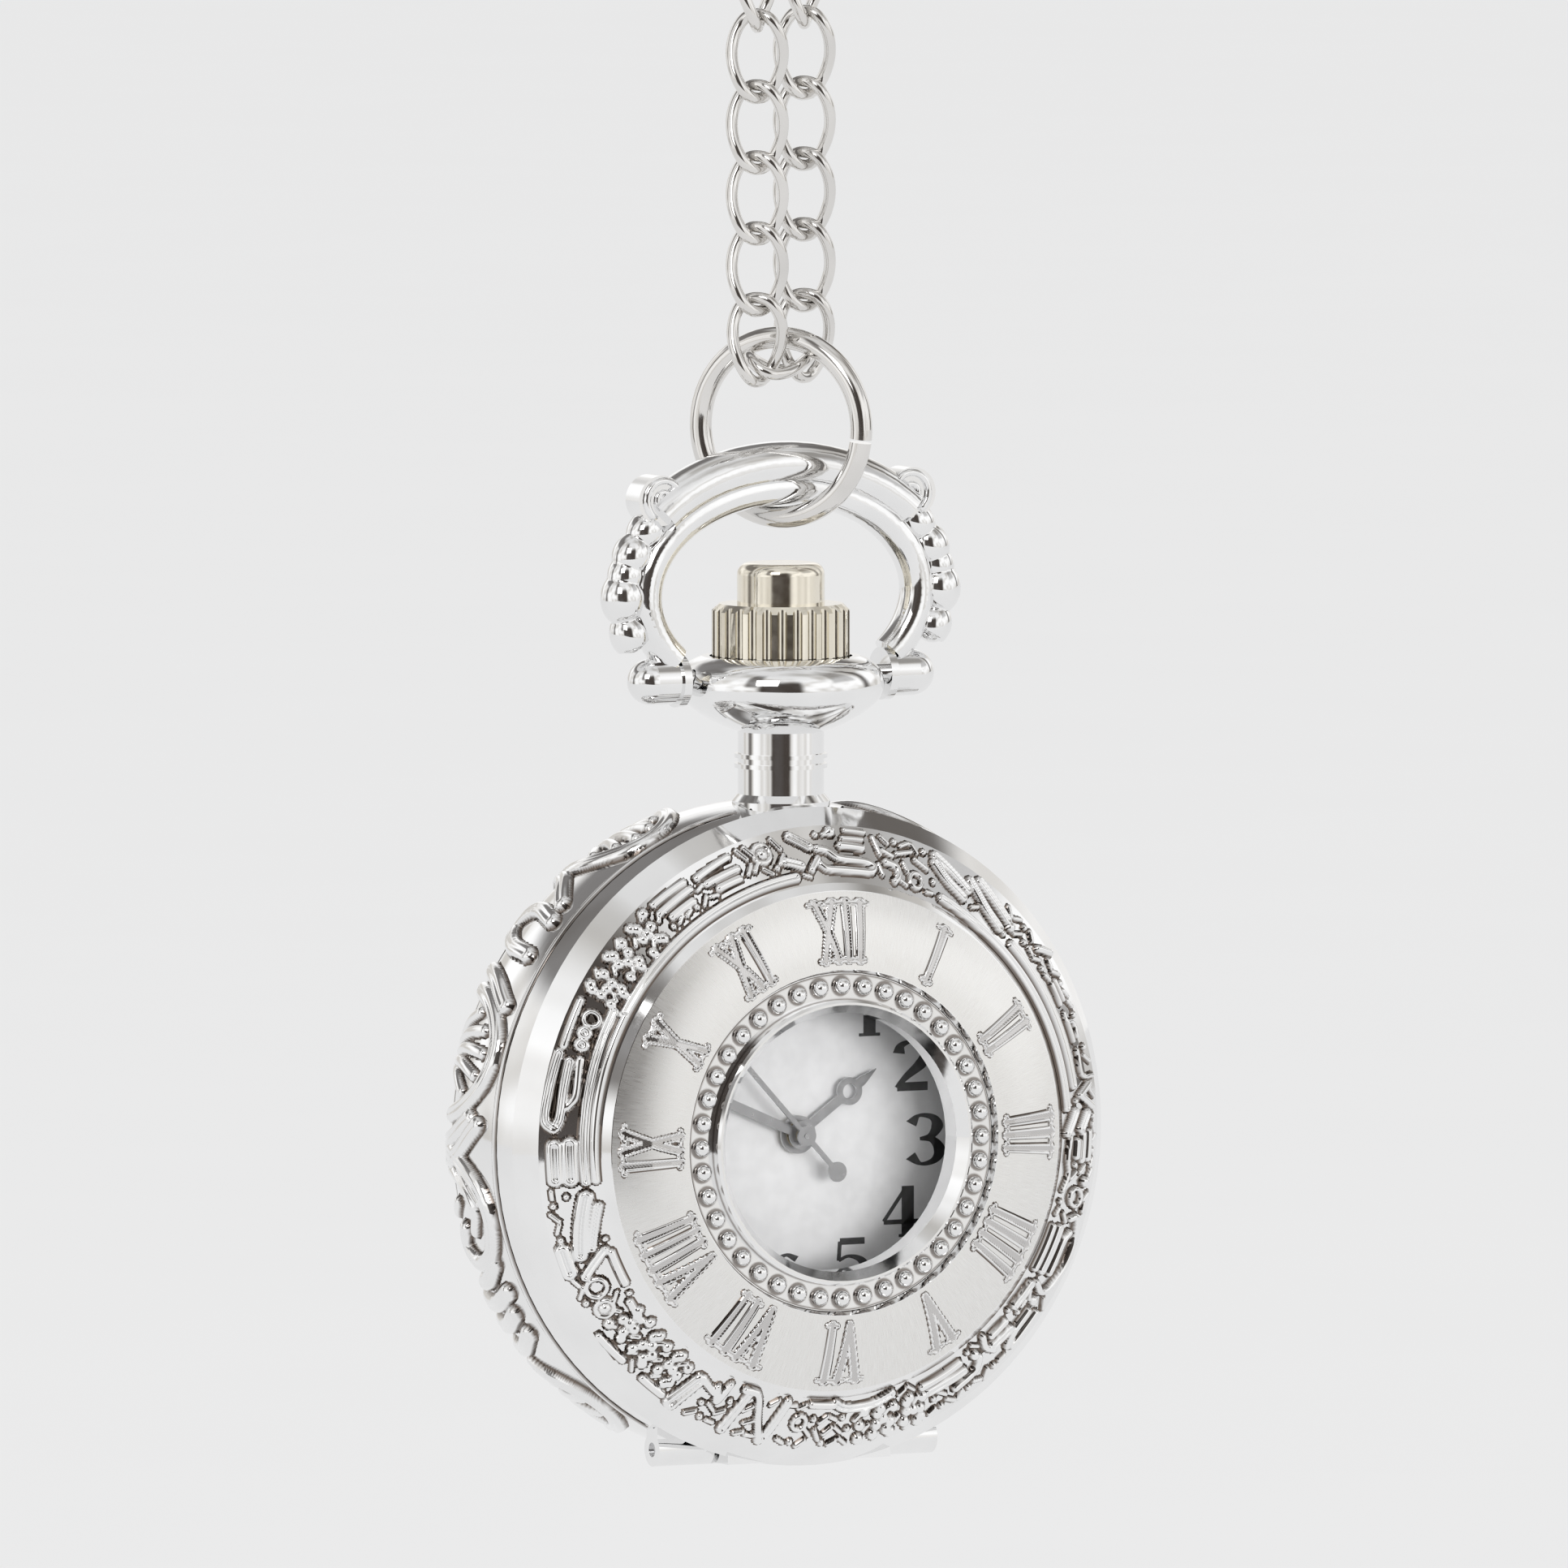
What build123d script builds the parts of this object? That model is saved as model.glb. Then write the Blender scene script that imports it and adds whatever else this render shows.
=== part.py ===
from build123d import *

import os
from math import asin, cos, degrees, hypot, radians, sin, sqrt

# Pendant watch on a double run of curb chain: a small quartz watch in a round case with a
# windowed lid, hung by a hinged bow, a jump ring and a chain that ends in a lobster clasp.
# Millimetres. +Z is up, +X to the right of the dial and -Y is the way the dial faces.
# The origin is the inside top of the clasp's hook, from which everything hangs.
# "Depth" below is a distance in front of the pendant axis, so a point's Y is minus its depth.

os.makedirs("parts", exist_ok=True)

# Clearances
running_gap = 0.05  # shaft in its hole, all round
face_gap = 0.04  # between faces that move past each other
rest_gap = 0.05  # between pieces that hang in each other
turn_play = 0.12  # further play where a turn link crosses slanting wires
hinge_gap = 0.12  # ends of hinge knuckles and the notch round the barrel
overrun = 1.0  # how far a cutter passes the face it cuts

# Case, band and back
case_radius = 13.75
band_front_inset = 0.3  # how much narrower the band is where it meets the lid
band_crest_depth = 0.5  # where the band is widest
band_low_inset = 0.1
band_low_depth = -3.0
band_back_inset = 1.0
band_back_depth = -4.8
band_wall = 2.85
parting_depth = 2.1  # where the lid meets the band
back_depth = -5.6  # outer face of the back
back_shoulder_inset = 0.6
back_shoulder_depth = -5.35
back_flat_inset = 1.95
back_lip_width = 0.9
back_lip_depth = -4.2
collar_inset = 1.65
collar_width = 0.8
collar_height = 0.5

# Lid, from its edge inwards
lid_gap = 0.04
lid_wall = 0.6
lid_collar_gap = 0.15
lid_edge_inset = 0.25
lid_edge_depth = 2.5
lid_brow_inset = 0.7
lid_brow_depth = 3.5
rim_width = 1.2
rim_crest_depth = 3.75
relief_width = 1.8
relief_inner_depth = 4.75
step_width = 0.3
step_height = 0.3
plateau_inner_radius = 7.2
plateau_inner_depth = 5.8
plateau_bulge = 0.12
channel_wall = 0.15
bead_channel_width = 1.1
bead_channel_depth = 5.45
lid_inner_depth = 4.6  # at the window
window_ring_front = 6.0
window_ring_back = 4.0
window_lip = 0.1
window_flare_inset = 0.2
window_flare_depth = 0.5
window_ring_width = 0.55
glass_grip = 0.3  # how far the ring holds the glass
glass_front_depth = 4.5
glass_thickness = 0.45

# Hinge at six o'clock
hinge_inset = 0.8  # axis inside the case's edge
hinge_depth = 0.95
barrel_radius = 0.7
barrel_length = 13.0
lid_knuckle_length = 7.6
hinge_pin_radius = 0.3
lug_half_depth = 0.5
lug_rise = 2.1
leaf_thickness = 0.7
leaf_step = 0.1  # how far the leaf stands above the axis
lid_leaf_rise = 0.5
rim_notch_gap = 0.25
rim_notch_half_length = 5.2

# Pendant neck and its bowl, each level above the one before
neck_radius = 1.8
neck_reed_step = 0.14
neck_reed_height = 0.18
neck_reed_height_shares = (0.42, 0.58)  # where the reeds stand, as shares of the neck's length
neck_foot_radius = 2.05
neck_foot_height = 0.4  # top of the foot above the case's edge
neck_foot_chamfer = 0.3
neck_seat_depth = 0.9  # how deep the foot stands in the band
neck_length = 2.6
bowl_radius = 4.3
bowl_height = 3.15
bowl_rim_inset = 1.0
bowl_recess_depth = 0.45
pivot_drop = 0.9  # the bow's axis below the bowl's rim
bowl_outline_shares = ((0.86, 0.31), (1.0, 0.56), (0.97, 0.8))  # radius and height

# Bow
bow_half_width = 6.85  # centre line of the bar
bow_arch_height = 4.9
bow_arch_rise = 3.5  # widest level above the pivot
bow_outer_ridge_radius = 0.95
bow_inner_ridge_radius = 0.72
bow_ridge_offset = 0.5
bow_half_thickness_shares = (1.2, 1.1)  # ridge half thickness to ridge radius, outer and inner
bow_outer_ridge_angle = 38.0  # where the outer ridge begins on either side
bow_end_radius = 0.96
bow_end_length = 1.45
bow_end_gap = 0.35
bow_collar_radius = 1.1
bow_collar_width = 0.35
bow_pin_radius = 0.4
bow_bead_offset = 0.56
bow_bead_angles = (-16.0, 0.0, 9.5, 19.0, 30.0)
bow_bead_radii = (0.74, 0.86, 0.66, 0.74, 0.68)
bow_scroll_radius = 1.05
bow_scroll_angle = 41.0
bow_scroll_offset = 1.1

# Crown and stem
crown_radius = 2.88
crown_height = 2.6
crown_flute_count = 28
crown_flute_radius = 0.2
crown_chamfer = 0.3
crown_knob_radius = 1.83
crown_knob_height = 1.7
crown_knob_round = 0.5
crown_pull = 0.8
crown_seat_gap = 0.1
stem_radius = 0.35
stem_groove_radius = 0.22
stem_groove_width = 0.45
detent_inset = 1.4  # below the movement's edge
detent_thickness = 0.35
detent_half_width = 0.9
detent_half_depth = 0.5

# Jump ring
ring_radius = 3.75
ring_wire_radius = 0.46
ring_heading = -54.0  # its plane is turned this far from the dial's
ring_split = 0.14
ring_split_angle = -7.0

# Chain
link_wire_radius = 0.25
link_half_width = 1.06
link_fullness = 0.75  # 1 gives a plain oval, less gives one with fuller shoulders
link_leg_steps = 4
link_half_length = 1.75
link_twist = 36.0
links_per_strand = 7
strand_turn_angle = 48.0  # how far the links lie turned out of the chain's plane
joining_turn_angle = 6.0  # the same for the last link but one
chain_heading = 29.0

# End ring and lobster clasp
end_ring_radius = 2.2
end_ring_wire_radius = 0.4
clasp_half_width = 2.7
clasp_half_height = 4.0
clasp_bar = 1.05
clasp_thickness = 1.7
clasp_eye_radius = 1.35
clasp_eye_hole_radius = 0.7
clasp_eye_thickness = 0.85
lever_pivot_angle = -38.0
lever_length = 3.45
lever_thickness = 0.6
lever_tab_length = 1.3
clasp_pin_radius = 0.25

# Dial, crystal and hands
dial_front_depth = 1.2
dial_thickness = 0.4
dial_inset = 0.9
bezel_lip = 1.2  # how far the bezel reaches in over the dial
bezel_front_depth = 2.95
bezel_chamfer = 0.2
crystal_grip = 0.6
crystal_thickness = 0.45
crystal_dome = 0.6
hour_hand_depth = 1.5
minute_hand_depth = 1.9
seconds_hand_depth = 2.3
hand_thickness = 0.12
hour_hand_share = 0.511  # lengths and ring places to the bezel's opening
minute_hand_share = 0.795
seconds_hand_share = 0.84
seconds_tail_share = 0.24
hour_ring_share = 0.335
minute_ring_share = 0.523
hour_hub_radius = 0.8
minute_hub_radius = 0.6
seconds_hub_radius = 0.42
hand_ring_radius = 0.58
hand_ring_hole_radius = 0.32
hand_width = 0.4
seconds_hand_width = 0.2
minute_angle = 293.4
hour_angle = 30 + minute_angle / 12
seconds_angle = 317.4

# Movement, its parts as shares of its radius
holder_width = 3.3
movement_thickness = 1.8
bridge_thickness = 1.7
recess_floor_depth = -0.15
recess_share = 0.6
wheel_distance_share = 0.316
cannon_share = 0.25  # pitch radius as a share of the centre distance
minute_pinion_share = 0.2
wheel_tip_gap = 0.08
wheel_thickness = 0.2
minute_post_radius = 0.15
seconds_arbor_radius = 0.12
cannon_tube_radius = 0.3
hour_tube_radius = 0.55
battery_share = 0.447
battery_offset_share = 0.447
battery_thickness = 2.15
clip_thickness = 0.2
clip_half_width = 0.9
coil_share = 0.112
coil_core_share = 0.059
coil_length_share = 0.92
coil_offset_share = 0.645
coil_end_share = 0.138
coil_end_thickness = 0.35
board_thickness = 0.25
board_rise_share = 0.29
board_length_share = 1.18
board_width_share = 0.316
holder_inner_gap = 0.05

# Radii of the case, from its edge inwards
band_front_radius = case_radius - band_front_inset
band_low_radius = case_radius - band_low_inset
band_back_radius = case_radius - band_back_inset
band_bore_radius = case_radius - band_wall
back_shoulder_radius = band_back_radius - back_shoulder_inset
back_flat_radius = band_back_radius - back_flat_inset
back_lip_inner_radius = band_bore_radius - back_lip_width
collar_outer_radius = case_radius - collar_inset
collar_inner_radius = collar_outer_radius - collar_width
lid_rim_inner_radius = collar_outer_radius + lid_collar_gap
lid_edge_radius = case_radius - lid_edge_inset
lid_brow_radius = case_radius - lid_brow_inset
rim_inner_radius = case_radius - rim_width
relief_inner_radius = rim_inner_radius - relief_width
plateau_outer_radius = relief_inner_radius - step_width
window_ring_radius = plateau_inner_radius - channel_wall - bead_channel_width
window_flare_radius = window_ring_radius - window_flare_inset
window_radius = window_ring_radius - window_ring_width
glass_radius = window_radius + glass_grip
dial_radius = band_bore_radius - dial_inset
bezel_inner_radius = dial_radius - bezel_lip
crystal_radius = bezel_inner_radius + crystal_grip
movement_radius = band_bore_radius - holder_width

# Levels of the pendant above the case's centre
hinge_drop = case_radius - hinge_inset
neck_foot_rise = case_radius + neck_foot_height
neck_top_rise = neck_foot_rise + neck_length
bowl_rim_rise = neck_top_rise + bowl_height
bowl_rim_radius = bowl_radius - bowl_rim_inset
pivot_rise = bowl_rim_rise - pivot_drop
detent_rise = movement_radius - detent_inset
stem_foot_rise = detent_rise - 2 * crown_pull

# Levels, worked out upwards from the case centre to the hook that carries it all
bow_top_rise = pivot_rise + bow_arch_rise + bow_arch_height
bow_underside_rise = bow_top_rise - bow_ridge_offset - bow_inner_ridge_radius
ring_rise = bow_underside_rise - rest_gap + ring_radius - ring_wire_radius


def fall(loop_radius, reach):
    """How far a round loop lies below its crown at a distance to the side."""
    return loop_radius - sqrt(loop_radius**2 - reach**2)


def turn_link_drop(loop_radius, wire_radius):
    """How far a turn link's centre lies inside the crown of the loop that bears on its slanting legs."""
    leg_slope = link_half_width * radians(link_twist) / link_half_length
    stand_off = (wire_radius + link_wire_radius + rest_gap + turn_play) * hypot(1, leg_slope)
    return fall(loop_radius, link_half_width) + stand_off


link_hook = 2 * link_wire_radius + rest_gap  # centre lines of two wires that hook together
link_pitch = 2 * link_half_length - link_hook
bottom_link_rise = ring_rise + ring_radius - turn_link_drop(ring_radius, ring_wire_radius)
first_link_rise = bottom_link_rise - link_hook - turn_play + link_half_length
last_link_rise = first_link_rise + (links_per_strand - 1) * link_pitch
top_link_rise = last_link_rise + link_half_length - link_hook - turn_play
end_ring_rise = top_link_rise - turn_link_drop(end_ring_radius, end_ring_wire_radius) + end_ring_radius
eye_seat_drop = fall(end_ring_radius, clasp_eye_thickness / 2) + end_ring_wire_radius + rest_gap
eye_centre_rise = end_ring_rise + end_ring_radius - eye_seat_drop + clasp_eye_hole_radius
clasp_rise = eye_centre_rise + clasp_eye_radius + clasp_half_height - clasp_bar
hook_rise = clasp_rise + clasp_half_height - clasp_bar

case_z = -hook_rise
case_level = Plane.XY.offset(case_z)  # sketches here hold (radius, Y) for turning about the case's axis
dial_axis = Axis((0, 0, case_z), (0, 1, 0))
strand_offset = link_half_length


def heading(angle):
    """A horizontal unit vector, turned anticlockwise from +X as seen from above."""
    return Vector(cos(radians(angle)), sin(radians(angle)), 0)


def front_plane(depth, rise=0.0):
    """A plane that looks out of the dial: local x is +X and local y is up."""
    return Plane(origin=(0, -depth, case_z + rise), x_dir=(1, 0, 0), z_dir=(0, -1, 0))


def upright_plane(angle, rise):
    """A vertical plane through the pendant axis: local x runs along the heading, local y is up."""
    along = heading(angle)
    return Plane(origin=(0, 0, case_z + rise), x_dir=along, z_dir=along.cross(Vector(0, 0, 1)))


def turned_plane(plane, angle):
    """The same plane with its local x turned anticlockwise."""
    x_dir = plane.x_dir * cos(radians(angle)) + plane.y_dir * sin(radians(angle))
    return Plane(origin=plane.origin, x_dir=x_dir, z_dir=plane.z_dir)


def write(piece, name):
    piece.label = name
    export_step(piece, f"parts/{name}.step")


def turned(name, *outlines):
    """A piece turned about the case's axis from outlines of (radius, depth) corners."""
    with BuildPart() as piece:
        for outline in outlines:
            with BuildSketch(case_level):
                with BuildLine():
                    Polyline([(radius, -depth) for radius, depth in outline], close=True)
                make_face()
            revolve(axis=dial_axis)
    write(piece.part, name)
    return piece.part


# Chain: every link is one bent wire, its two ends twisted against each other so that the chain lies flat


def link_leg(side):
    """Points along one leg, from the top of the link to its foot, on an oval twisted about its length."""
    points = []
    for step in range(link_leg_steps + 1):
        angle = radians(180 * step / link_leg_steps)
        reach = side * link_half_width * sin(angle) ** link_fullness
        turn = radians(link_twist * cos(angle))
        points.append((reach * cos(turn), -reach * sin(turn), link_half_length * cos(angle)))
    return points


link_end_across = cos(radians(link_twist))
link_end_deep = sin(radians(link_twist))
with BuildPart() as link:
    for side in (1, -1):
        with BuildLine() as leg:
            Spline(
                link_leg(side),
                tangents=[
                    (side * link_end_across, -side * link_end_deep, 0),
                    (-side * link_end_across, -side * link_end_deep, 0),
                ],
            )
        with BuildSketch(Plane(origin=leg.line @ 0, z_dir=leg.line % 0)):
            Circle(link_wire_radius)
        sweep(path=leg.line)

# The lowest and the topmost link lie turned, so that they meet the turn links square on
end_turns = {
    0: -link_twist,
    links_per_strand - 2: -joining_turn_angle,
    links_per_strand - 1: link_twist,
}
for side, side_name in ((-1, "left"), (1, "right")):
    foot = heading(chain_heading) * (side * strand_offset)
    with BuildPart() as strand:
        for number in range(links_per_strand):
            link_z = case_z + first_link_rise + number * link_pitch
            turn = end_turns.get(number, -strand_turn_angle)
            with Locations(Location((foot.X, foot.Y, link_z), (0, 0, chain_heading + turn))):
                add(link.part)
    write(strand.part, f"chain_{side_name}_strand")

for turn_name, turn_rise in (("bottom", bottom_link_rise), ("top", top_link_rise)):
    turn_plane = Plane(
        origin=(0, 0, case_z + turn_rise),
        x_dir=heading(chain_heading + 90),
        z_dir=heading(chain_heading),
    )
    with BuildPart() as turn_link:
        with Locations(turn_plane.location):
            add(link.part)
    write(turn_link.part, f"chain_{turn_name}_link")


# End ring and jump ring: round wire bent into rings


def bent_ring(name, angle, rise, radius, wire_radius, split_angle):
    """A ring in the vertical plane at the heading, with a saw cut where its ends meet."""
    ring_plane = upright_plane(angle, rise)
    section_plane = Plane(origin=ring_plane.origin, x_dir=ring_plane.x_dir, z_dir=ring_plane.y_dir)
    cut_plane = turned_plane(ring_plane, split_angle)
    with BuildPart() as ring:
        with BuildSketch(section_plane):
            with Locations((radius, 0)):
                Circle(wire_radius)
        revolve(axis=Axis(ring_plane.origin, ring_plane.z_dir))
        with BuildSketch(cut_plane):
            with Locations((radius, 0)):
                Rectangle(4 * wire_radius, ring_split)
        extrude(amount=2 * wire_radius, both=True, mode=Mode.SUBTRACT)
    write(ring.part, name)


bent_ring("jump_ring", ring_heading, ring_rise, ring_radius, ring_wire_radius, ring_split_angle)
bent_ring(
    "end_ring",
    chain_heading + 90,
    end_ring_rise,
    end_ring_radius,
    end_ring_wire_radius,
    ring_split_angle,
)


# Lobster clasp: a flat oval hook, an eye below it and a sprung lever that shuts its mouth

clasp_plane = upright_plane(chain_heading, clasp_rise)
bar_half_width = clasp_half_width - clasp_bar / 2
bar_half_height = clasp_half_height - clasp_bar / 2
pivot_turn = radians(lever_pivot_angle)
pivot_reach = bar_half_width * bar_half_height / hypot(
    bar_half_height * cos(pivot_turn), bar_half_width * sin(pivot_turn)
)
pivot_place = (pivot_reach * cos(pivot_turn), pivot_reach * sin(pivot_turn))
slot_half_depth = lever_thickness / 2 + face_gap


def oval_bar():
    Ellipse(clasp_half_width, clasp_half_height)
    Ellipse(clasp_half_width - clasp_bar, clasp_half_height - clasp_bar, mode=Mode.SUBTRACT)


def mouth(radius):
    """The piece of a disc round the lever's pivot that lies above it, on the lever's side."""
    with BuildSketch() as sector:
        with Locations(pivot_place):
            Circle(radius)
        with Locations((radius / 2, pivot_place[1] + radius / 2)):
            Rectangle(radius, radius, mode=Mode.INTERSECT)
    return sector.sketch


with BuildPart() as clasp_body:
    with BuildSketch(clasp_plane):
        oval_bar()
        add(mouth(lever_length + hinge_gap), mode=Mode.SUBTRACT)
        with Locations(pivot_place):
            Circle(clasp_bar / 2)
    extrude(amount=clasp_thickness / 2, both=True)
    with BuildSketch(clasp_plane):
        with Locations(pivot_place):
            Circle(clasp_bar / 2 + hinge_gap)
    extrude(amount=slot_half_depth, both=True, mode=Mode.SUBTRACT)
    with BuildSketch(clasp_plane):
        with Locations((0, eye_centre_rise - clasp_rise)):
            Circle(clasp_eye_radius)
    extrude(amount=clasp_eye_thickness / 2, both=True)
    with BuildSketch(clasp_plane):
        with Locations((0, eye_centre_rise - clasp_rise)):
            Circle(clasp_eye_hole_radius)
        with Locations(pivot_place):
            Circle(clasp_pin_radius)
    extrude(amount=clasp_thickness, both=True, mode=Mode.SUBTRACT)
write(clasp_body.part, "clasp_body")

with BuildPart() as clasp_lever:
    with BuildSketch(clasp_plane):
        oval_bar()
        add(mouth(lever_length), mode=Mode.INTERSECT)
        with Locations(pivot_place):
            Circle(clasp_bar / 2)
        with Locations((pivot_place[0] + clasp_bar / 2 + lever_tab_length / 4, pivot_place[1] + clasp_bar)):
            Ellipse(lever_tab_length / 2, clasp_bar / 3)
        with Locations(pivot_place):
            Circle(clasp_pin_radius + running_gap, mode=Mode.SUBTRACT)
    extrude(amount=lever_thickness / 2, both=True)
write(clasp_lever.part, "clasp_lever")

with BuildPart() as clasp_pin:
    with BuildSketch(clasp_plane):
        with Locations(pivot_place):
            Circle(clasp_pin_radius)
    extrude(amount=clasp_thickness / 2, both=True)
write(clasp_pin.part, "clasp_pin")


# Bow: an arch of two rounded ridges with beads and a scroll up each side, ending in round knuckles

pivot_z = case_z + pivot_rise
arch_z = pivot_z + bow_arch_rise
arch_start = degrees(-asin((bow_arch_rise - bow_end_radius / 2) / bow_arch_height))
arch_plane = Plane(origin=(0, 0, arch_z), x_dir=(1, 0, 0), z_dir=(0, -1, 0))


def arch_point(angle, offset=0.0):
    """A point beside the bar's centre line, as (x, height above the arch's level)."""
    turn = radians(angle)
    outward = Vector(cos(turn) / bow_half_width, sin(turn) / bow_arch_height).normalized()
    return Vector(bow_half_width * cos(turn), bow_arch_height * sin(turn)) + outward * offset


def arch_line(start_angle):
    """The bar's centre line between two angles that lie alike on either side."""
    with BuildLine(arch_plane) as line:
        EllipticalCenterArc(
            (0, 0),
            bow_half_width,
            bow_arch_height,
            start_angle=start_angle,
            arc_size=180 - 2 * start_angle,
        )
    return line.line


bow_end_start = bowl_radius + bow_end_gap
bow_end_stop = bow_end_start + bow_end_length
with BuildPart() as bow:
    for start_angle, offset, radius, share in zip(
        (arch_start, bow_outer_ridge_angle),
        (-bow_ridge_offset, bow_ridge_offset),
        (bow_inner_ridge_radius, bow_outer_ridge_radius),
        reversed(bow_half_thickness_shares),
    ):
        line = arch_line(start_angle)
        with BuildSketch(Plane(origin=line @ 0, x_dir=(0, -1, 0), z_dir=line % 0)):
            with Locations((0, offset)):
                Ellipse(radius * share, radius)
        sweep(path=line)
    scroll_places = []
    for side in (-1, 1):
        for angle, radius in zip(bow_bead_angles, bow_bead_radii):
            place = arch_point(angle, bow_bead_offset)
            with Locations((side * place.X, 0, arch_z + place.Y)):
                Sphere(radius)
        place = arch_point(bow_scroll_angle, bow_scroll_offset)
        scroll_places.append((side * place.X, place.Y))
    with BuildSketch(arch_plane):
        with Locations(scroll_places):
            Circle(bow_scroll_radius)
    extrude(amount=bow_scroll_radius * bow_half_thickness_shares[0] / 2, both=True)
    for side in (-1, 1):
        for radius, length in ((bow_end_radius, bow_end_length), (bow_collar_radius, bow_collar_width)):
            with BuildSketch(Plane.YZ.offset(side * bow_end_start)):
                with Locations((0, pivot_z)):
                    Circle(radius)
            extrude(amount=side * length)
        with Locations((side * bow_end_stop, 0, pivot_z)):
            Sphere(bow_end_radius)
    with BuildSketch(Plane.YZ):
        with Locations((0, pivot_z)):
            Circle(bow_pin_radius)
    extrude(amount=bow_end_stop, both=True, mode=Mode.SUBTRACT)
write(bow.part, "bow")

with BuildPart() as bow_pins:
    pin_outer = bow_end_stop
    pin_inner = crown_radius + crown_seat_gap + face_gap
    for side in (-1, 1):
        with BuildSketch(Plane.YZ.offset(side * pin_inner)):
            with Locations((0, pivot_z)):
                Circle(bow_pin_radius)
        extrude(amount=side * (pin_outer - pin_inner))
write(bow_pins.part, "bow_pins")


# Pendant: one turned casting of neck and bowl, bored for the stem and the bow's pins

pendant_axis = Axis((0, 0, case_z), (0, 0, 1))
bowl_recess_radius = crown_radius + crown_seat_gap
recess_floor = bowl_rim_rise - bowl_recess_depth
neck_base = sqrt(case_radius**2 - neck_foot_radius**2) - neck_seat_depth
stem_bore = stem_radius + running_gap
neck_line_share = 0.35  # rise of the bowl's first and last tangent

with BuildPart() as pendant:
    with BuildSketch(Plane.XZ):
        with BuildLine():
            Polyline(
                (neck_radius, case_z + neck_top_rise),
                (neck_radius, case_z + neck_foot_rise),
                (neck_foot_radius, case_z + neck_foot_rise - neck_foot_chamfer),
                (neck_foot_radius, case_z + neck_base),
                (0, case_z + neck_base),
                (0, case_z + bowl_rim_rise),
                (bowl_rim_radius, case_z + bowl_rim_rise),
            )
            Spline(
                (neck_radius, case_z + neck_top_rise),
                *[
                    (bowl_radius * across, case_z + neck_top_rise + bowl_height * up)
                    for across, up in bowl_outline_shares
                ],
                (bowl_rim_radius, case_z + bowl_rim_rise),
                tangents=[(1, neck_line_share), (-1, neck_line_share)],
            )
        make_face()
    revolve(axis=pendant_axis)
    for share in neck_reed_height_shares:
        with BuildSketch(Plane.XY.offset(case_z + neck_foot_rise + neck_length * share)):
            Circle(neck_radius + neck_reed_step)
        extrude(amount=neck_reed_height)
    with BuildSketch(Plane.XY.offset(case_z + recess_floor)):
        Circle(bowl_recess_radius)
    extrude(amount=bowl_recess_depth + overrun, mode=Mode.SUBTRACT)
    with BuildSketch(Plane.XY.offset(case_z)):
        Circle(stem_bore)
    extrude(amount=bowl_rim_rise + overrun, mode=Mode.SUBTRACT)
    with BuildSketch(Plane.YZ):
        with Locations((0, pivot_z)):
            Circle(bow_pin_radius + running_gap)
    extrude(amount=bowl_radius + overrun, both=True, mode=Mode.SUBTRACT)
write(pendant.part, "pendant")


# Case band with the two outer knuckles of the hinge, and the snap-in back

hinge_z = case_z - hinge_drop
hinge_axis_place = (-hinge_depth, hinge_z)
band_front_depth = parting_depth - lid_gap
knuckle_gap_end = lid_knuckle_length / 2 + hinge_gap
rim_notch_radius = parting_depth - hinge_depth + rim_notch_gap  # room for the lid's rim as it swings


with BuildPart() as case_band:
    with BuildSketch(case_level):
        with BuildLine():
            Polyline(
                (band_front_radius, -band_front_depth),
                (collar_outer_radius, -band_front_depth),
                (collar_outer_radius, -band_front_depth - collar_height),
                (collar_inner_radius, -band_front_depth - collar_height),
                (collar_inner_radius, -band_front_depth),
                (band_bore_radius, -band_front_depth),
                (band_bore_radius, -band_back_depth),
                (band_back_radius, -band_back_depth),
            )
            Spline(
                (band_back_radius, -band_back_depth),
                (band_low_radius, -band_low_depth),
                (case_radius, -band_crest_depth),
                (band_front_radius, -band_front_depth),
            )
        make_face()
    revolve(axis=dial_axis)
    with BuildSketch(Plane.YZ):
        with Locations(hinge_axis_place):
            Circle(rim_notch_radius)
    extrude(amount=rim_notch_half_length, both=True, mode=Mode.SUBTRACT)
    with BuildSketch(Plane.YZ):
        with Locations(hinge_axis_place):
            Circle(barrel_radius)
        with Locations((-hinge_depth, hinge_z + lug_rise / 2)):
            Rectangle(2 * lug_half_depth, lug_rise)
    extrude(amount=barrel_length / 2, both=True)
    with BuildSketch(Plane.YZ):
        with Locations(hinge_axis_place):
            Circle(rim_notch_radius)
    extrude(amount=knuckle_gap_end, both=True, mode=Mode.SUBTRACT)
    with BuildSketch(Plane.YZ):
        with Locations(hinge_axis_place):
            Circle(hinge_pin_radius)
    extrude(amount=barrel_length, both=True, mode=Mode.SUBTRACT)
    with BuildSketch(Plane.XY.offset(case_z + neck_base)):
        Circle(neck_foot_radius)
    extrude(amount=case_radius, mode=Mode.SUBTRACT)
    with BuildSketch(case_level):
        Circle(stem_bore)
    extrude(amount=case_radius, mode=Mode.SUBTRACT)
write(case_band.part, "case_band")

with BuildPart() as case_back:
    with BuildSketch(case_level):
        with BuildLine():
            Polyline(
                (back_flat_radius, -back_depth),
                (0, -back_depth),
                (0, -band_back_depth),
                (back_lip_inner_radius, -band_back_depth),
                (back_lip_inner_radius, -back_lip_depth),
                (band_bore_radius - lid_gap, -back_lip_depth),
                (band_bore_radius - lid_gap, -band_back_depth),
                (band_back_radius, -band_back_depth),
            )
            ThreePointArc(
                (band_back_radius, -band_back_depth),
                (back_shoulder_radius, -back_shoulder_depth),
                (back_flat_radius, -back_depth),
            )
        make_face()
    revolve(axis=dial_axis)
write(case_back.part, "case_back")

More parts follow.
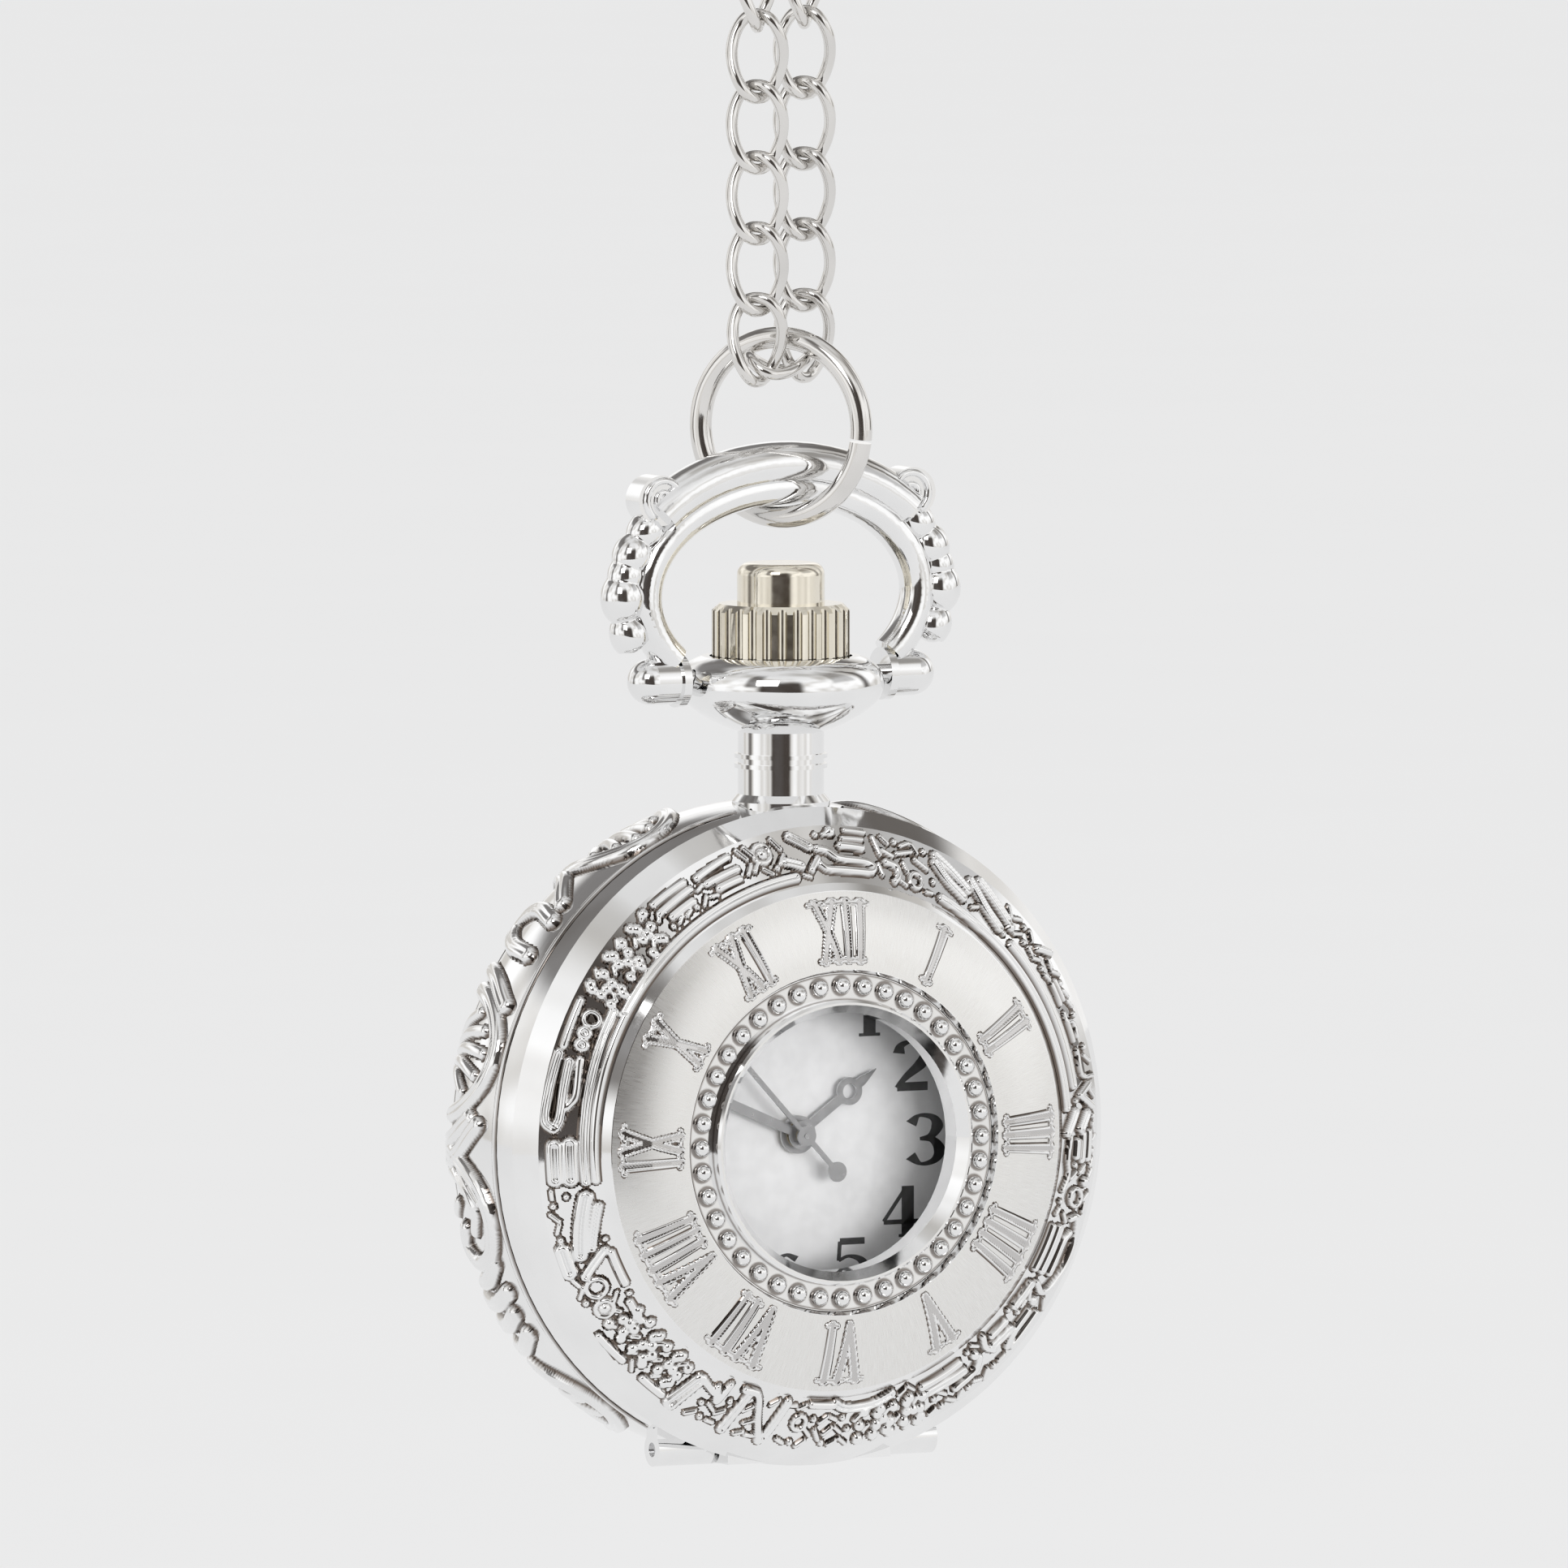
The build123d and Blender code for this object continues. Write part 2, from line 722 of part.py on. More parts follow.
with BuildPart() as hinge_pin:
    with BuildSketch(Plane.YZ):
        with Locations(hinge_axis_place):
            Circle(hinge_pin_radius)
    extrude(amount=barrel_length / 2 - hinge_gap, both=True)
write(hinge_pin.part, "hinge_pin")


# Lid: a spun dome with a stepped rim, a raised hour ring, a bead channel and the middle knuckle

lid_crown_radius = (plateau_outer_radius + plateau_inner_radius) / 2
lid_crown_depth = (relief_inner_depth + step_height + plateau_inner_depth) / 2 + plateau_bulge
with BuildPart() as lid:
    with BuildSketch(case_level):
        with BuildLine():
            Polyline(
                (plateau_inner_radius, -plateau_inner_depth),
                (plateau_inner_radius - channel_wall, -bead_channel_depth),
                (window_ring_radius, -bead_channel_depth),
                (window_ring_radius, -lid_inner_depth),
                (plateau_outer_radius, -relief_inner_depth + lid_wall),
                (lid_rim_inner_radius, -rim_crest_depth + lid_wall),
                (lid_rim_inner_radius, -parting_depth),
                (lid_edge_radius, -parting_depth),
                (case_radius, -lid_edge_depth),
                (lid_brow_radius, -lid_brow_depth),
                (rim_inner_radius, -rim_crest_depth),
                (relief_inner_radius, -relief_inner_depth),
                (plateau_outer_radius, -relief_inner_depth - step_height),
            )
            ThreePointArc(
                (plateau_outer_radius, -relief_inner_depth - step_height),
                (lid_crown_radius, -lid_crown_depth),
                (plateau_inner_radius, -plateau_inner_depth),
            )
        make_face()
    revolve(axis=dial_axis)
    leaf_depth = parting_depth + lid_leaf_rise
    with BuildSketch(Plane.YZ):
        with Locations(hinge_axis_place):
            Circle(barrel_radius)
        with Locations((-(hinge_depth + leaf_depth) / 2, hinge_z + leaf_step - leaf_thickness / 2)):
            Rectangle(leaf_depth - hinge_depth, leaf_thickness)
    extrude(amount=lid_knuckle_length / 2, both=True)
    with BuildSketch(Plane.YZ):
        with Locations(hinge_axis_place):
            Circle(hinge_pin_radius + running_gap)
    extrude(amount=barrel_length, both=True, mode=Mode.SUBTRACT)
write(lid.part, "lid")

turned(
    "window_ring",
    [
        (window_radius, glass_front_depth),
        (glass_radius, glass_front_depth),
        (glass_radius, window_ring_back),
        (window_ring_radius, window_ring_back),
        (window_ring_radius, window_ring_front - window_lip),
        (window_ring_radius - window_lip, window_ring_front),
        (window_flare_radius, window_ring_front),
        (window_radius, window_ring_front - window_flare_depth),
    ],
)
turned(
    "window_glass",
    [
        (0, glass_front_depth),
        (glass_radius, glass_front_depth),
        (glass_radius, glass_front_depth - glass_thickness),
        (0, glass_front_depth - glass_thickness),
    ],
)


# Dial, bezel and crystal

turned(
    "dial",
    [
        (hour_tube_radius + running_gap, dial_front_depth),
        (dial_radius, dial_front_depth),
        (dial_radius, dial_front_depth - dial_thickness),
        (hour_tube_radius + running_gap, dial_front_depth - dial_thickness),
    ],
)
bezel_outer_radius = band_bore_radius - running_gap
crystal_seat_depth = bezel_front_depth - crystal_thickness
turned(
    "crystal_bezel",
    [
        (bezel_inner_radius, dial_front_depth),
        (bezel_outer_radius, dial_front_depth),
        (bezel_outer_radius, bezel_front_depth - bezel_chamfer),
        (bezel_outer_radius - bezel_chamfer, bezel_front_depth),
        (crystal_radius, bezel_front_depth),
        (crystal_radius, crystal_seat_depth),
        (bezel_inner_radius, crystal_seat_depth),
    ],
)
with BuildPart() as dial_crystal:
    with BuildSketch(case_level):
        with BuildLine():
            for level in (bezel_front_depth, crystal_seat_depth):
                ThreePointArc(
                    (-crystal_radius, -level),
                    (0, -level - crystal_dome),
                    (crystal_radius, -level),
                )
            for side in (-1, 1):
                Line(
                    (side * crystal_radius, -bezel_front_depth),
                    (side * crystal_radius, -crystal_seat_depth),
                )
        make_face()
        with Locations((-crystal_radius, -bezel_front_depth)):
            Rectangle(2 * crystal_radius, 4 * crystal_radius, mode=Mode.SUBTRACT)
    revolve(axis=dial_axis)
write(dial_crystal.part, "dial_crystal")


# Hands, all cut from thin sheet

def hand_plane(depth, angle):
    """The plane of a hand that points a number of degrees clockwise from twelve."""
    return turned_plane(front_plane(depth), -angle)


def pointer(width, start, length):
    """A bar that tapers to a point over its last part, along local y."""
    with BuildSketch() as outline:
        with BuildLine():
            Polyline(
                (-width / 2, start),
                (width / 2, start),
                (width / 2, length - 2 * width),
                (0, length),
                (-width / 2, length - 2 * width),
                close=True,
            )
        make_face()
    return outline.sketch


def ringed_hand(name, depth, angle, length, ring_place, hub_radius, bore_radius):
    with BuildPart() as hand:
        with BuildSketch(hand_plane(depth, angle)):
            add(pointer(hand_width, 0, length))
            with Locations((0, ring_place)):
                Circle(hand_ring_radius)
                Circle(hand_ring_hole_radius, mode=Mode.SUBTRACT)
            Circle(hub_radius)
            Circle(bore_radius, mode=Mode.SUBTRACT)
        extrude(amount=hand_thickness)
    write(hand.part, name)


ringed_hand(
    "hour_hand",
    hour_hand_depth,
    hour_angle,
    hour_hand_share * bezel_inner_radius,
    hour_ring_share * bezel_inner_radius,
    hour_hub_radius,
    hour_tube_radius,
)
ringed_hand(
    "minute_hand",
    minute_hand_depth,
    minute_angle,
    minute_hand_share * bezel_inner_radius,
    minute_ring_share * bezel_inner_radius,
    minute_hub_radius,
    cannon_tube_radius,
)

seconds_tail_length = seconds_tail_share * bezel_inner_radius
with BuildPart() as seconds_hand:
    with BuildSketch(hand_plane(seconds_hand_depth, seconds_angle)):
        add(pointer(seconds_hand_width, -seconds_tail_length, seconds_hand_share * bezel_inner_radius))
        with Locations((0, -seconds_tail_length)):
            Circle(seconds_hub_radius)
        Circle(seconds_hub_radius)
        Circle(seconds_arbor_radius, mode=Mode.SUBTRACT)
    extrude(amount=hand_thickness)
write(seconds_hand.part, "seconds_hand")


# Motion work: the tubes and wheels that carry the hands

hand_proud = hand_thickness + face_gap
wheel_centre_distance = wheel_distance_share * movement_radius
plate_front_depth = dial_front_depth - dial_thickness
plate_back_depth = plate_front_depth - movement_thickness
bridge_back_depth = plate_back_depth - bridge_thickness
hour_wheel_radius = wheel_centre_distance * (1 - minute_pinion_share) - wheel_tip_gap / 2
minute_wheel_radius = wheel_centre_distance * (1 - cannon_share) - wheel_tip_gap / 2
minute_pinion_radius = wheel_centre_distance * minute_pinion_share - wheel_tip_gap / 2
cannon_radius = wheel_centre_distance * cannon_share - wheel_tip_gap / 2
lower_wheel_depth = recess_floor_depth + wheel_thickness
upper_wheel_depth = dial_front_depth - dial_thickness - face_gap - 2 * wheel_thickness
turned(
    "hour_wheel",
    [
        (cannon_tube_radius + running_gap, upper_wheel_depth),
        (hour_wheel_radius, upper_wheel_depth),
        (hour_wheel_radius, upper_wheel_depth + wheel_thickness),
        (hour_tube_radius, upper_wheel_depth + wheel_thickness),
        (hour_tube_radius, hour_hand_depth + hand_proud),
        (cannon_tube_radius + running_gap, hour_hand_depth + hand_proud),
    ],
)
turned(
    "cannon_pinion",
    [
        (seconds_arbor_radius + running_gap, lower_wheel_depth),
        (cannon_radius, lower_wheel_depth),
        (cannon_radius, lower_wheel_depth + wheel_thickness),
        (cannon_tube_radius, lower_wheel_depth + wheel_thickness),
        (cannon_tube_radius, minute_hand_depth + hand_proud),
        (seconds_arbor_radius + running_gap, minute_hand_depth + hand_proud),
    ],
)
turned(
    "seconds_arbor",
    [
        (0, plate_back_depth),
        (seconds_arbor_radius, plate_back_depth),
        (seconds_arbor_radius, seconds_hand_depth + hand_proud),
        (0, seconds_hand_depth + hand_proud),
    ],
)
with BuildPart() as minute_wheel:
    for level, radius, height in (
        (lower_wheel_depth, minute_wheel_radius, wheel_thickness),
        (lower_wheel_depth + wheel_thickness, minute_pinion_radius, upper_wheel_depth - lower_wheel_depth),
    ):
        with BuildSketch(front_plane(level)):
            with Locations((-wheel_centre_distance, 0)):
                Circle(radius)
                Circle(minute_post_radius + running_gap, mode=Mode.SUBTRACT)
        extrude(amount=height)
write(minute_wheel.part, "minute_wheel")


# Movement: plate, train bridge, coil, battery with its clip, circuit board, and the ring that holds it all

holder_outer_radius = band_bore_radius - running_gap
with BuildPart() as main_plate:
    with BuildSketch(front_plane(plate_back_depth)):
        Circle(movement_radius)
        Circle(seconds_arbor_radius + running_gap, mode=Mode.SUBTRACT)
        with Locations((0, (stem_foot_rise + movement_radius) / 2)):
            Rectangle(
                2 * (detent_half_width + running_gap),
                movement_radius - stem_foot_rise + 2 * stem_radius,
                mode=Mode.SUBTRACT,
            )
    extrude(amount=plate_front_depth - plate_back_depth)
    with BuildSketch(front_plane(recess_floor_depth)):
        Circle(recess_share * movement_radius)
    extrude(amount=plate_front_depth - recess_floor_depth, mode=Mode.SUBTRACT)
    with BuildSketch(front_plane(recess_floor_depth)):
        with Locations((-wheel_centre_distance, 0)):
            Circle(minute_post_radius)
    extrude(amount=upper_wheel_depth + wheel_thickness - recess_floor_depth)
write(main_plate.part, "main_plate")

battery_radius = battery_share * movement_radius
battery_offset = battery_offset_share * movement_radius
coil_radius = coil_share * movement_radius
coil_core_radius = coil_core_share * movement_radius
coil_end_radius = coil_end_share * movement_radius
coil_length = coil_length_share * movement_radius
coil_offset = coil_offset_share * movement_radius
battery_place = (0, -battery_offset)
coil_place = (0, coil_offset)
with BuildPart() as train_bridge:
    with BuildSketch(front_plane(bridge_back_depth)):
        Circle(movement_radius)
        with Locations(battery_place):
            Circle(battery_radius + face_gap, mode=Mode.SUBTRACT)
        with Locations(coil_place):
            Rectangle(
                coil_length + 2 * (coil_end_thickness + running_gap),
                2 * (coil_end_radius + running_gap),
                mode=Mode.SUBTRACT,
            )
    extrude(amount=plate_back_depth - bridge_back_depth)
write(train_bridge.part, "train_bridge")

with BuildPart() as battery:
    with BuildSketch(front_plane(plate_back_depth - battery_thickness)):
        with Locations(battery_place):
            Circle(battery_radius)
    extrude(amount=battery_thickness)
write(battery.part, "battery")

clip_depth = plate_back_depth - battery_thickness
clip_half_length = battery_radius + 3 * clip_thickness
with BuildPart() as battery_clip:
    with BuildSketch(front_plane(clip_depth - clip_thickness)):
        with Locations(battery_place):
            Rectangle(2 * clip_half_width, 2 * clip_half_length)
    extrude(amount=clip_thickness)
    with BuildSketch(front_plane(clip_depth)):
        for end in (-1, 1):
            with Locations((0, -battery_offset + end * (clip_half_length - clip_thickness / 2))):
                Rectangle(2 * clip_half_width, clip_thickness)
    extrude(amount=bridge_back_depth - clip_depth)
write(battery_clip.part, "battery_clip")

coil_centre = coil_end_radius - plate_back_depth
with BuildPart() as coil_bobbin:
    with BuildSketch(Plane.YZ):
        with Locations((coil_centre, case_z + coil_offset)):
            Circle(coil_core_radius)
    extrude(amount=coil_length / 2, both=True)
    for side in (-1, 1):
        with BuildSketch(Plane.YZ.offset(side * coil_length / 2)):
            with Locations((coil_centre, case_z + coil_offset)):
                Circle(coil_end_radius)
        extrude(amount=side * coil_end_thickness)
write(coil_bobbin.part, "coil_bobbin")

with BuildPart() as coil:
    with BuildSketch(Plane.YZ):
        with Locations((coil_centre, case_z + coil_offset)):
            Circle(coil_radius)
            Circle(coil_core_radius, mode=Mode.SUBTRACT)
    extrude(amount=coil_length / 2, both=True)
write(coil.part, "coil")

with BuildPart() as circuit_board:
    with BuildSketch(front_plane(bridge_back_depth - board_thickness)):
        with Locations((0, board_rise_share * movement_radius)):
            Rectangle(board_length_share * movement_radius, board_width_share * movement_radius)
    extrude(amount=board_thickness)
write(circuit_board.part, "circuit_board")

with BuildPart() as movement_holder:
    with BuildSketch(case_level):
        with BuildLine():
            Polyline(
                (movement_radius + holder_inner_gap, -plate_front_depth),
                (holder_outer_radius, -plate_front_depth),
                (holder_outer_radius, -back_lip_depth - running_gap),
                (back_lip_inner_radius - running_gap, -back_lip_depth - running_gap),
                (back_lip_inner_radius - running_gap, -band_back_depth - running_gap),
                (movement_radius + holder_inner_gap, -band_back_depth - running_gap),
                close=True,
            )
        make_face()
    revolve(axis=dial_axis)
    with BuildSketch(case_level):
        Circle(stem_bore)
    extrude(amount=case_radius, mode=Mode.SUBTRACT)
write(movement_holder.part, "movement_holder")


# Crown on its stem, and the detent that lets the stem click out and back

crown_base = recess_floor + face_gap
crown_top = crown_base + crown_height
crown_plane = Plane.XY.offset(case_z + crown_base)
with BuildPart() as crown:
    with BuildSketch(crown_plane):
        Circle(crown_radius)
        with PolarLocations(crown_radius, crown_flute_count):
            Circle(crown_flute_radius, mode=Mode.SUBTRACT)
    extrude(amount=crown_height)
    with BuildSketch(Plane.XZ):
        with BuildLine():
            Polyline(
                (crown_radius - crown_chamfer, case_z + crown_base),
                (crown_radius + crown_chamfer, case_z + crown_base),
                (crown_radius + crown_chamfer, case_z + crown_base + 2 * crown_chamfer),
                close=True,
            )
        make_face()
        with BuildLine():
            Polyline(
                (crown_radius - crown_chamfer, case_z + crown_top),
                (crown_radius + crown_chamfer, case_z + crown_top),
                (crown_radius + crown_chamfer, case_z + crown_top - 2 * crown_chamfer),
                close=True,
            )
        make_face()
    revolve(axis=pendant_axis, mode=Mode.SUBTRACT)
    with BuildSketch(Plane.XY.offset(case_z + crown_top)):
        Circle(crown_knob_radius)
    extrude(amount=crown_knob_height)
    fillet(crown.edges().group_by(Axis.Z)[-1], radius=crown_knob_round)
    with BuildSketch(crown_plane):
        Circle(stem_radius)
    extrude(amount=crown_height - 2 * stem_radius, mode=Mode.SUBTRACT)
write(crown.part, "crown")

groove_foot = detent_rise - stem_groove_width / 2
with BuildPart() as stem:
    for foot, radius, top in (
        (stem_foot_rise, stem_radius, groove_foot),
        (groove_foot, stem_groove_radius, groove_foot + stem_groove_width),
        (groove_foot + stem_groove_width, stem_radius, crown_top - 2 * stem_radius),
    ):
        with BuildSketch(Plane.XY.offset(case_z + foot)):
            Circle(radius)
        extrude(amount=top - foot)
write(stem.part, "stem")

with BuildPart() as stem_detent:
    with BuildSketch(Plane.XY.offset(case_z + detent_rise - detent_thickness / 2)):
        Rectangle(2 * detent_half_width, 2 * detent_half_depth)
        Circle(stem_groove_radius + running_gap, mode=Mode.SUBTRACT)
        with Locations((0, detent_half_depth)):
            Rectangle(2 * (stem_groove_radius + running_gap), 2 * detent_half_depth, mode=Mode.SUBTRACT)
    extrude(amount=detent_thickness)
write(stem_detent.part, "stem_detent")
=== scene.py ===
import math

import bmesh
import bpy
import numpy as np
from mathutils import Matrix, Vector


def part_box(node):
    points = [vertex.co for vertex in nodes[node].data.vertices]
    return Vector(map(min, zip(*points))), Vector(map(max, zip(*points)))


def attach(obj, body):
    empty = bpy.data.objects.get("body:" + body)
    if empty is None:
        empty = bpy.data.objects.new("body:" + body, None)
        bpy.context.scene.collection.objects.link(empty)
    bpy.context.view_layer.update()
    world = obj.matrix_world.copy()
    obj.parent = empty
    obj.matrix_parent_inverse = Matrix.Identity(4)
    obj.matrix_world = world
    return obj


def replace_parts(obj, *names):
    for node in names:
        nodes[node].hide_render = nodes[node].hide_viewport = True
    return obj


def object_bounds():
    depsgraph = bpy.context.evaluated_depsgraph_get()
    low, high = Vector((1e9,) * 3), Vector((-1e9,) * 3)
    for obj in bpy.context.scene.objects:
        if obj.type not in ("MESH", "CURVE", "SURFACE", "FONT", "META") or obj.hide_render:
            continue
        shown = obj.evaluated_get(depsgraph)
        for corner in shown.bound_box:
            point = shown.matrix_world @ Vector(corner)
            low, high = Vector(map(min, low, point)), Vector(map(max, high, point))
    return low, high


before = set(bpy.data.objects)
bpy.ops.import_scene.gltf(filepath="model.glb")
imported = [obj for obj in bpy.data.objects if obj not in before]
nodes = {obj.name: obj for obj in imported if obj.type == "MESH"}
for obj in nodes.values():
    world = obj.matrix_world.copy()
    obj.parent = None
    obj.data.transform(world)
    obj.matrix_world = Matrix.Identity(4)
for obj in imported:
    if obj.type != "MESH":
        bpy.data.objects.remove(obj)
cad_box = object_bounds()

MM = 0.001

# Places, in millimetres, that the pieces below share
dial_low, dial_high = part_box("dial")
CASE_Z = (dial_low.z + dial_high.z) / 2 / MM
DIAL_FRONT = -dial_low.y / MM
SATIN_INNER_RADIUS = 7.22
SATIN_OUTER_RADIUS = 10.42


# Materials: noise scales are per metre, bump depths are in metres

RIPPLE_DEPTH = 0.05 * MM
GRAIN_DEPTH = 0.02 * MM
FINE_DETAIL = 6.0

# Glass: its share of gloss seen square on, what a glancing view adds, and how sharply that rises
FACING_GLOSS = 0.017
GLANCING_GLOSS = 0.9
GLANCING_POWER = 5.0
GLASS_TINT = 0.985
GLASS_ROUGHNESS = 0.02
SMEAR_SCALE = 300.0

# Radial brushing: how often the noise changes round the ring and across it
BRUSHING_ROUND = 90.0
BRUSHING_ACROSS = 500.0
BRUSHING_SCALE = 3.0
BRUSHING_DETAIL = 5.0
BRUSHED_DARK = (0.79, 0.78, 0.76, 1.0)
BRUSHED_LIGHT = (0.88, 0.875, 0.86, 1.0)

SILVER = (0.9, 0.9, 0.9)
# The painted shade in the reliefs' recesses and along their strokes' edges
RECESS_PAINTED_SHADE = (0.16, 0.13, 0.11, 1.0)


def new_material(name):
    material = bpy.data.materials.new(name)
    material.use_nodes = True
    return material, material.node_tree


def grey(value):
    return (value, value, value, 1.0)


def darker(colour, share):
    """The colour with every channel cut by the share, and full alpha."""
    return [channel * (1 - share) for channel in colour] + [1.0]


def noise_node(tree, coords, scale, detail=3.0):
    noise = tree.nodes.new("ShaderNodeTexNoise")
    noise.inputs["Scale"].default_value = scale
    noise.inputs["Detail"].default_value = detail
    tree.links.new(coords, noise.inputs["Vector"])
    return noise.outputs["Fac"]


def ramp_node(tree, value, stops):
    ramp = tree.nodes.new("ShaderNodeValToRGB")
    elements = ramp.color_ramp.elements
    elements[0].position, elements[0].color = stops[0]
    elements[1].position, elements[1].color = stops[-1]
    for position, colour in stops[1:-1]:
        extra = elements.new(position)
        extra.color = colour
    tree.links.new(value, ramp.inputs["Fac"])
    return ramp.outputs["Color"]


def math_node(tree, operation, *values):
    node = tree.nodes.new("ShaderNodeMath")
    node.operation = operation
    for socket, value in zip(node.inputs, values):
        if isinstance(value, (int, float)):
            socket.default_value = value
        else:
            tree.links.new(value, socket)
    return node.outputs["Value"]


def mix_colours(tree, factor, first, second, blend_type="MIX"):
    """A mix of two colours, where each value is a number, a colour or a socket."""
    node = tree.nodes.new("ShaderNodeMix")
    node.data_type = "RGBA"
    node.blend_type = blend_type
    for socket_name, value in (("Factor", factor), ("A", first), ("B", second)):
        if isinstance(value, (float, tuple)):
            node.inputs[socket_name].default_value = value
        else:
            tree.links.new(value, node.inputs[socket_name])
    return node.outputs["Result"]


def add_bump(tree, height, strength, depth, normal):
    node = tree.nodes.new("ShaderNodeBump")
    node.inputs["Strength"].default_value = strength
    node.inputs["Distance"].default_value = depth
    tree.links.new(height, node.inputs["Height"])
    tree.links.new(node.outputs["Normal"], normal)


def polished(name, colour, roughness, wear=0.05, bump=0.02, scale=900.0):
    """Plated metal: tiny tone changes, roughness that varies with handling, and a faint ripple."""
    material, tree = new_material(name)
    shader = tree.nodes["Principled BSDF"]
    shader.inputs["Metallic"].default_value = 1.0
    coords = tree.nodes.new("ShaderNodeTexCoord").outputs["Object"]
    tone = noise_node(tree, coords, scale * 0.4)
    tones = [(0.3, darker(colour, wear)), (0.7, darker(colour, 0))]
    tree.links.new(ramp_node(tree, tone, tones), shader.inputs["Base Color"])
    fine = noise_node(tree, coords, scale * 3, FINE_DETAIL)
    finishes = [(0.3, grey(roughness * 0.7)), (0.75, grey(roughness * 1.5))]
    tree.links.new(ramp_node(tree, fine, finishes), shader.inputs["Roughness"])
    ripple = noise_node(tree, coords, scale)
    add_bump(tree, ripple, bump, RIPPLE_DEPTH, shader.inputs["Normal"])
    return material


def plastic(name, colour, roughness, scale=1500.0, grain=0.1, unevenness=0.07):
    """Moulded plastic, lacquer or paint with a fine grain."""
    material, tree = new_material(name)
    shader = tree.nodes["Principled BSDF"]
    shader.inputs["Roughness"].default_value = roughness
    coords = tree.nodes.new("ShaderNodeTexCoord").outputs["Object"]
    tone = noise_node(tree, coords, scale)
    tones = [(0.35, darker(colour, unevenness)), (0.65, darker(colour, 0))]
    tree.links.new(ramp_node(tree, tone, tones), shader.inputs["Base Color"])
    add_bump(tree, tone, grain, GRAIN_DEPTH, shader.inputs["Normal"])
    return material


def clear_glass(name):
    """Thin clear glass: light goes straight through, and the surface keeps its gloss."""
    material, tree = new_material(name)
    tree.nodes.remove(tree.nodes["Principled BSDF"])
    clear = tree.nodes.new("ShaderNodeBsdfTransparent")
    clear.inputs["Color"].default_value = grey(GLASS_TINT)
    gloss = tree.nodes.new("ShaderNodeBsdfGlossy")
    gloss.inputs["Roughness"].default_value = GLASS_ROUGHNESS
    facing = tree.nodes.new("ShaderNodeLayerWeight").outputs["Facing"]
    glance = math_node(tree, "POWER", facing, GLANCING_POWER)
    gloss_share = math_node(tree, "MULTIPLY_ADD", glance, GLANCING_GLOSS, FACING_GLOSS)
    coords = tree.nodes.new("ShaderNodeTexCoord").outputs["Object"]
    smear = noise_node(tree, coords, SMEAR_SCALE)
    add_bump(tree, smear, 0.02, GRAIN_DEPTH, gloss.inputs["Normal"])
    mix = tree.nodes.new("ShaderNodeMixShader")
    tree.links.new(gloss_share, mix.inputs["Fac"])
    tree.links.new(clear.outputs["BSDF"], mix.inputs[1])
    tree.links.new(gloss.outputs["BSDF"], mix.inputs[2])
    tree.links.new(mix.outputs["Shader"], tree.nodes["Material Output"].inputs["Surface"])
    return material


def lid_metal(name):
    """Polished plating, with a satin ring of fine radial brushing round the window."""
    material = polished(name, SILVER, 0.06)
    tree = material.node_tree
    shader = tree.nodes["Principled BSDF"]
    coords = tree.nodes.new("ShaderNodeTexCoord").outputs["Object"]
    place = tree.nodes.new("ShaderNodeSeparateXYZ")
    tree.links.new(coords, place.inputs["Vector"])
    across = place.outputs["X"]
    up = math_node(tree, "SUBTRACT", place.outputs["Z"], CASE_Z * MM)
    squares = [math_node(tree, "MULTIPLY", side, side) for side in (across, up)]
    radius = math_node(tree, "SQRT", math_node(tree, "ADD", *squares))
    inside = math_node(tree, "GREATER_THAN", radius, SATIN_INNER_RADIUS * MM)
    outside = math_node(tree, "LESS_THAN", radius, SATIN_OUTER_RADIUS * MM)
    satin = math_node(tree, "MULTIPLY", inside, outside)
    angle = math_node(tree, "ARCTAN2", across, up)
    spot = tree.nodes.new("ShaderNodeCombineXYZ")
    tree.links.new(math_node(tree, "MULTIPLY", angle, BRUSHING_ROUND), spot.inputs["X"])
    tree.links.new(math_node(tree, "MULTIPLY", radius, BRUSHING_ACROSS), spot.inputs["Y"])
    streak = noise_node(tree, spot.outputs["Vector"], BRUSHING_SCALE, BRUSHING_DETAIL)
    for socket_name, low, high in (
        ("Base Color", BRUSHED_DARK, BRUSHED_LIGHT),
        ("Roughness", grey(0.26), grey(0.32)),
    ):
        plain = shader.inputs[socket_name].links[0].from_socket
        brushed = ramp_node(tree, streak, [(0.3, low), (0.7, high)])
        tree.links.new(mix_colours(tree, satin, plain, brushed), shader.inputs[socket_name])
    return material


def relief_metal(name):
    """Polished plating with painted shade, dark brown, where the relief's tone is 0."""
    material = polished(name, SILVER, 0.08)
    tree = material.node_tree
    colour = tree.nodes["Principled BSDF"].inputs["Base Color"]
    tone = tree.nodes.new("ShaderNodeAttribute")
    tone.attribute_name = "tone"
    plain = colour.links[0].from_socket
    tree.links.new(mix_colours(tree, tone.outputs["Fac"], RECESS_PAINTED_SHADE, plain), colour)
    return material


def assign(material, *names):
    for name in names:
        slots = nodes[name].data.materials
        slots.clear()
        slots.append(material)


silver = polished("silver_plate", SILVER, 0.06)
relief_silver_painted_shade = relief_metal("relief_silver_painted_shade")
wire_silver = polished("wire_silver", (0.8, 0.785, 0.765), 0.08, wear=0.1)
nickel = polished("warm_nickel", (0.9, 0.85, 0.74), 0.12, wear=0.1)
steel = polished("plain_steel", (0.62, 0.62, 0.63), 0.25, wear=0.15)
brass = polished("plain_brass", (0.78, 0.62, 0.3), 0.25, wear=0.15)
copper = polished("copper_wire", (0.75, 0.4, 0.22), 0.3, wear=0.2)
hand_grey = polished("hand_grey", (0.56, 0.56, 0.57), 0.35, wear=0.1)
enamel = plastic("white_enamel", (0.95, 0.95, 0.955), 0.35)
ink = plastic("black_ink", (0.02, 0.02, 0.022), 0.4)
board_green = plastic("board_green", (0.05, 0.25, 0.12), 0.5)
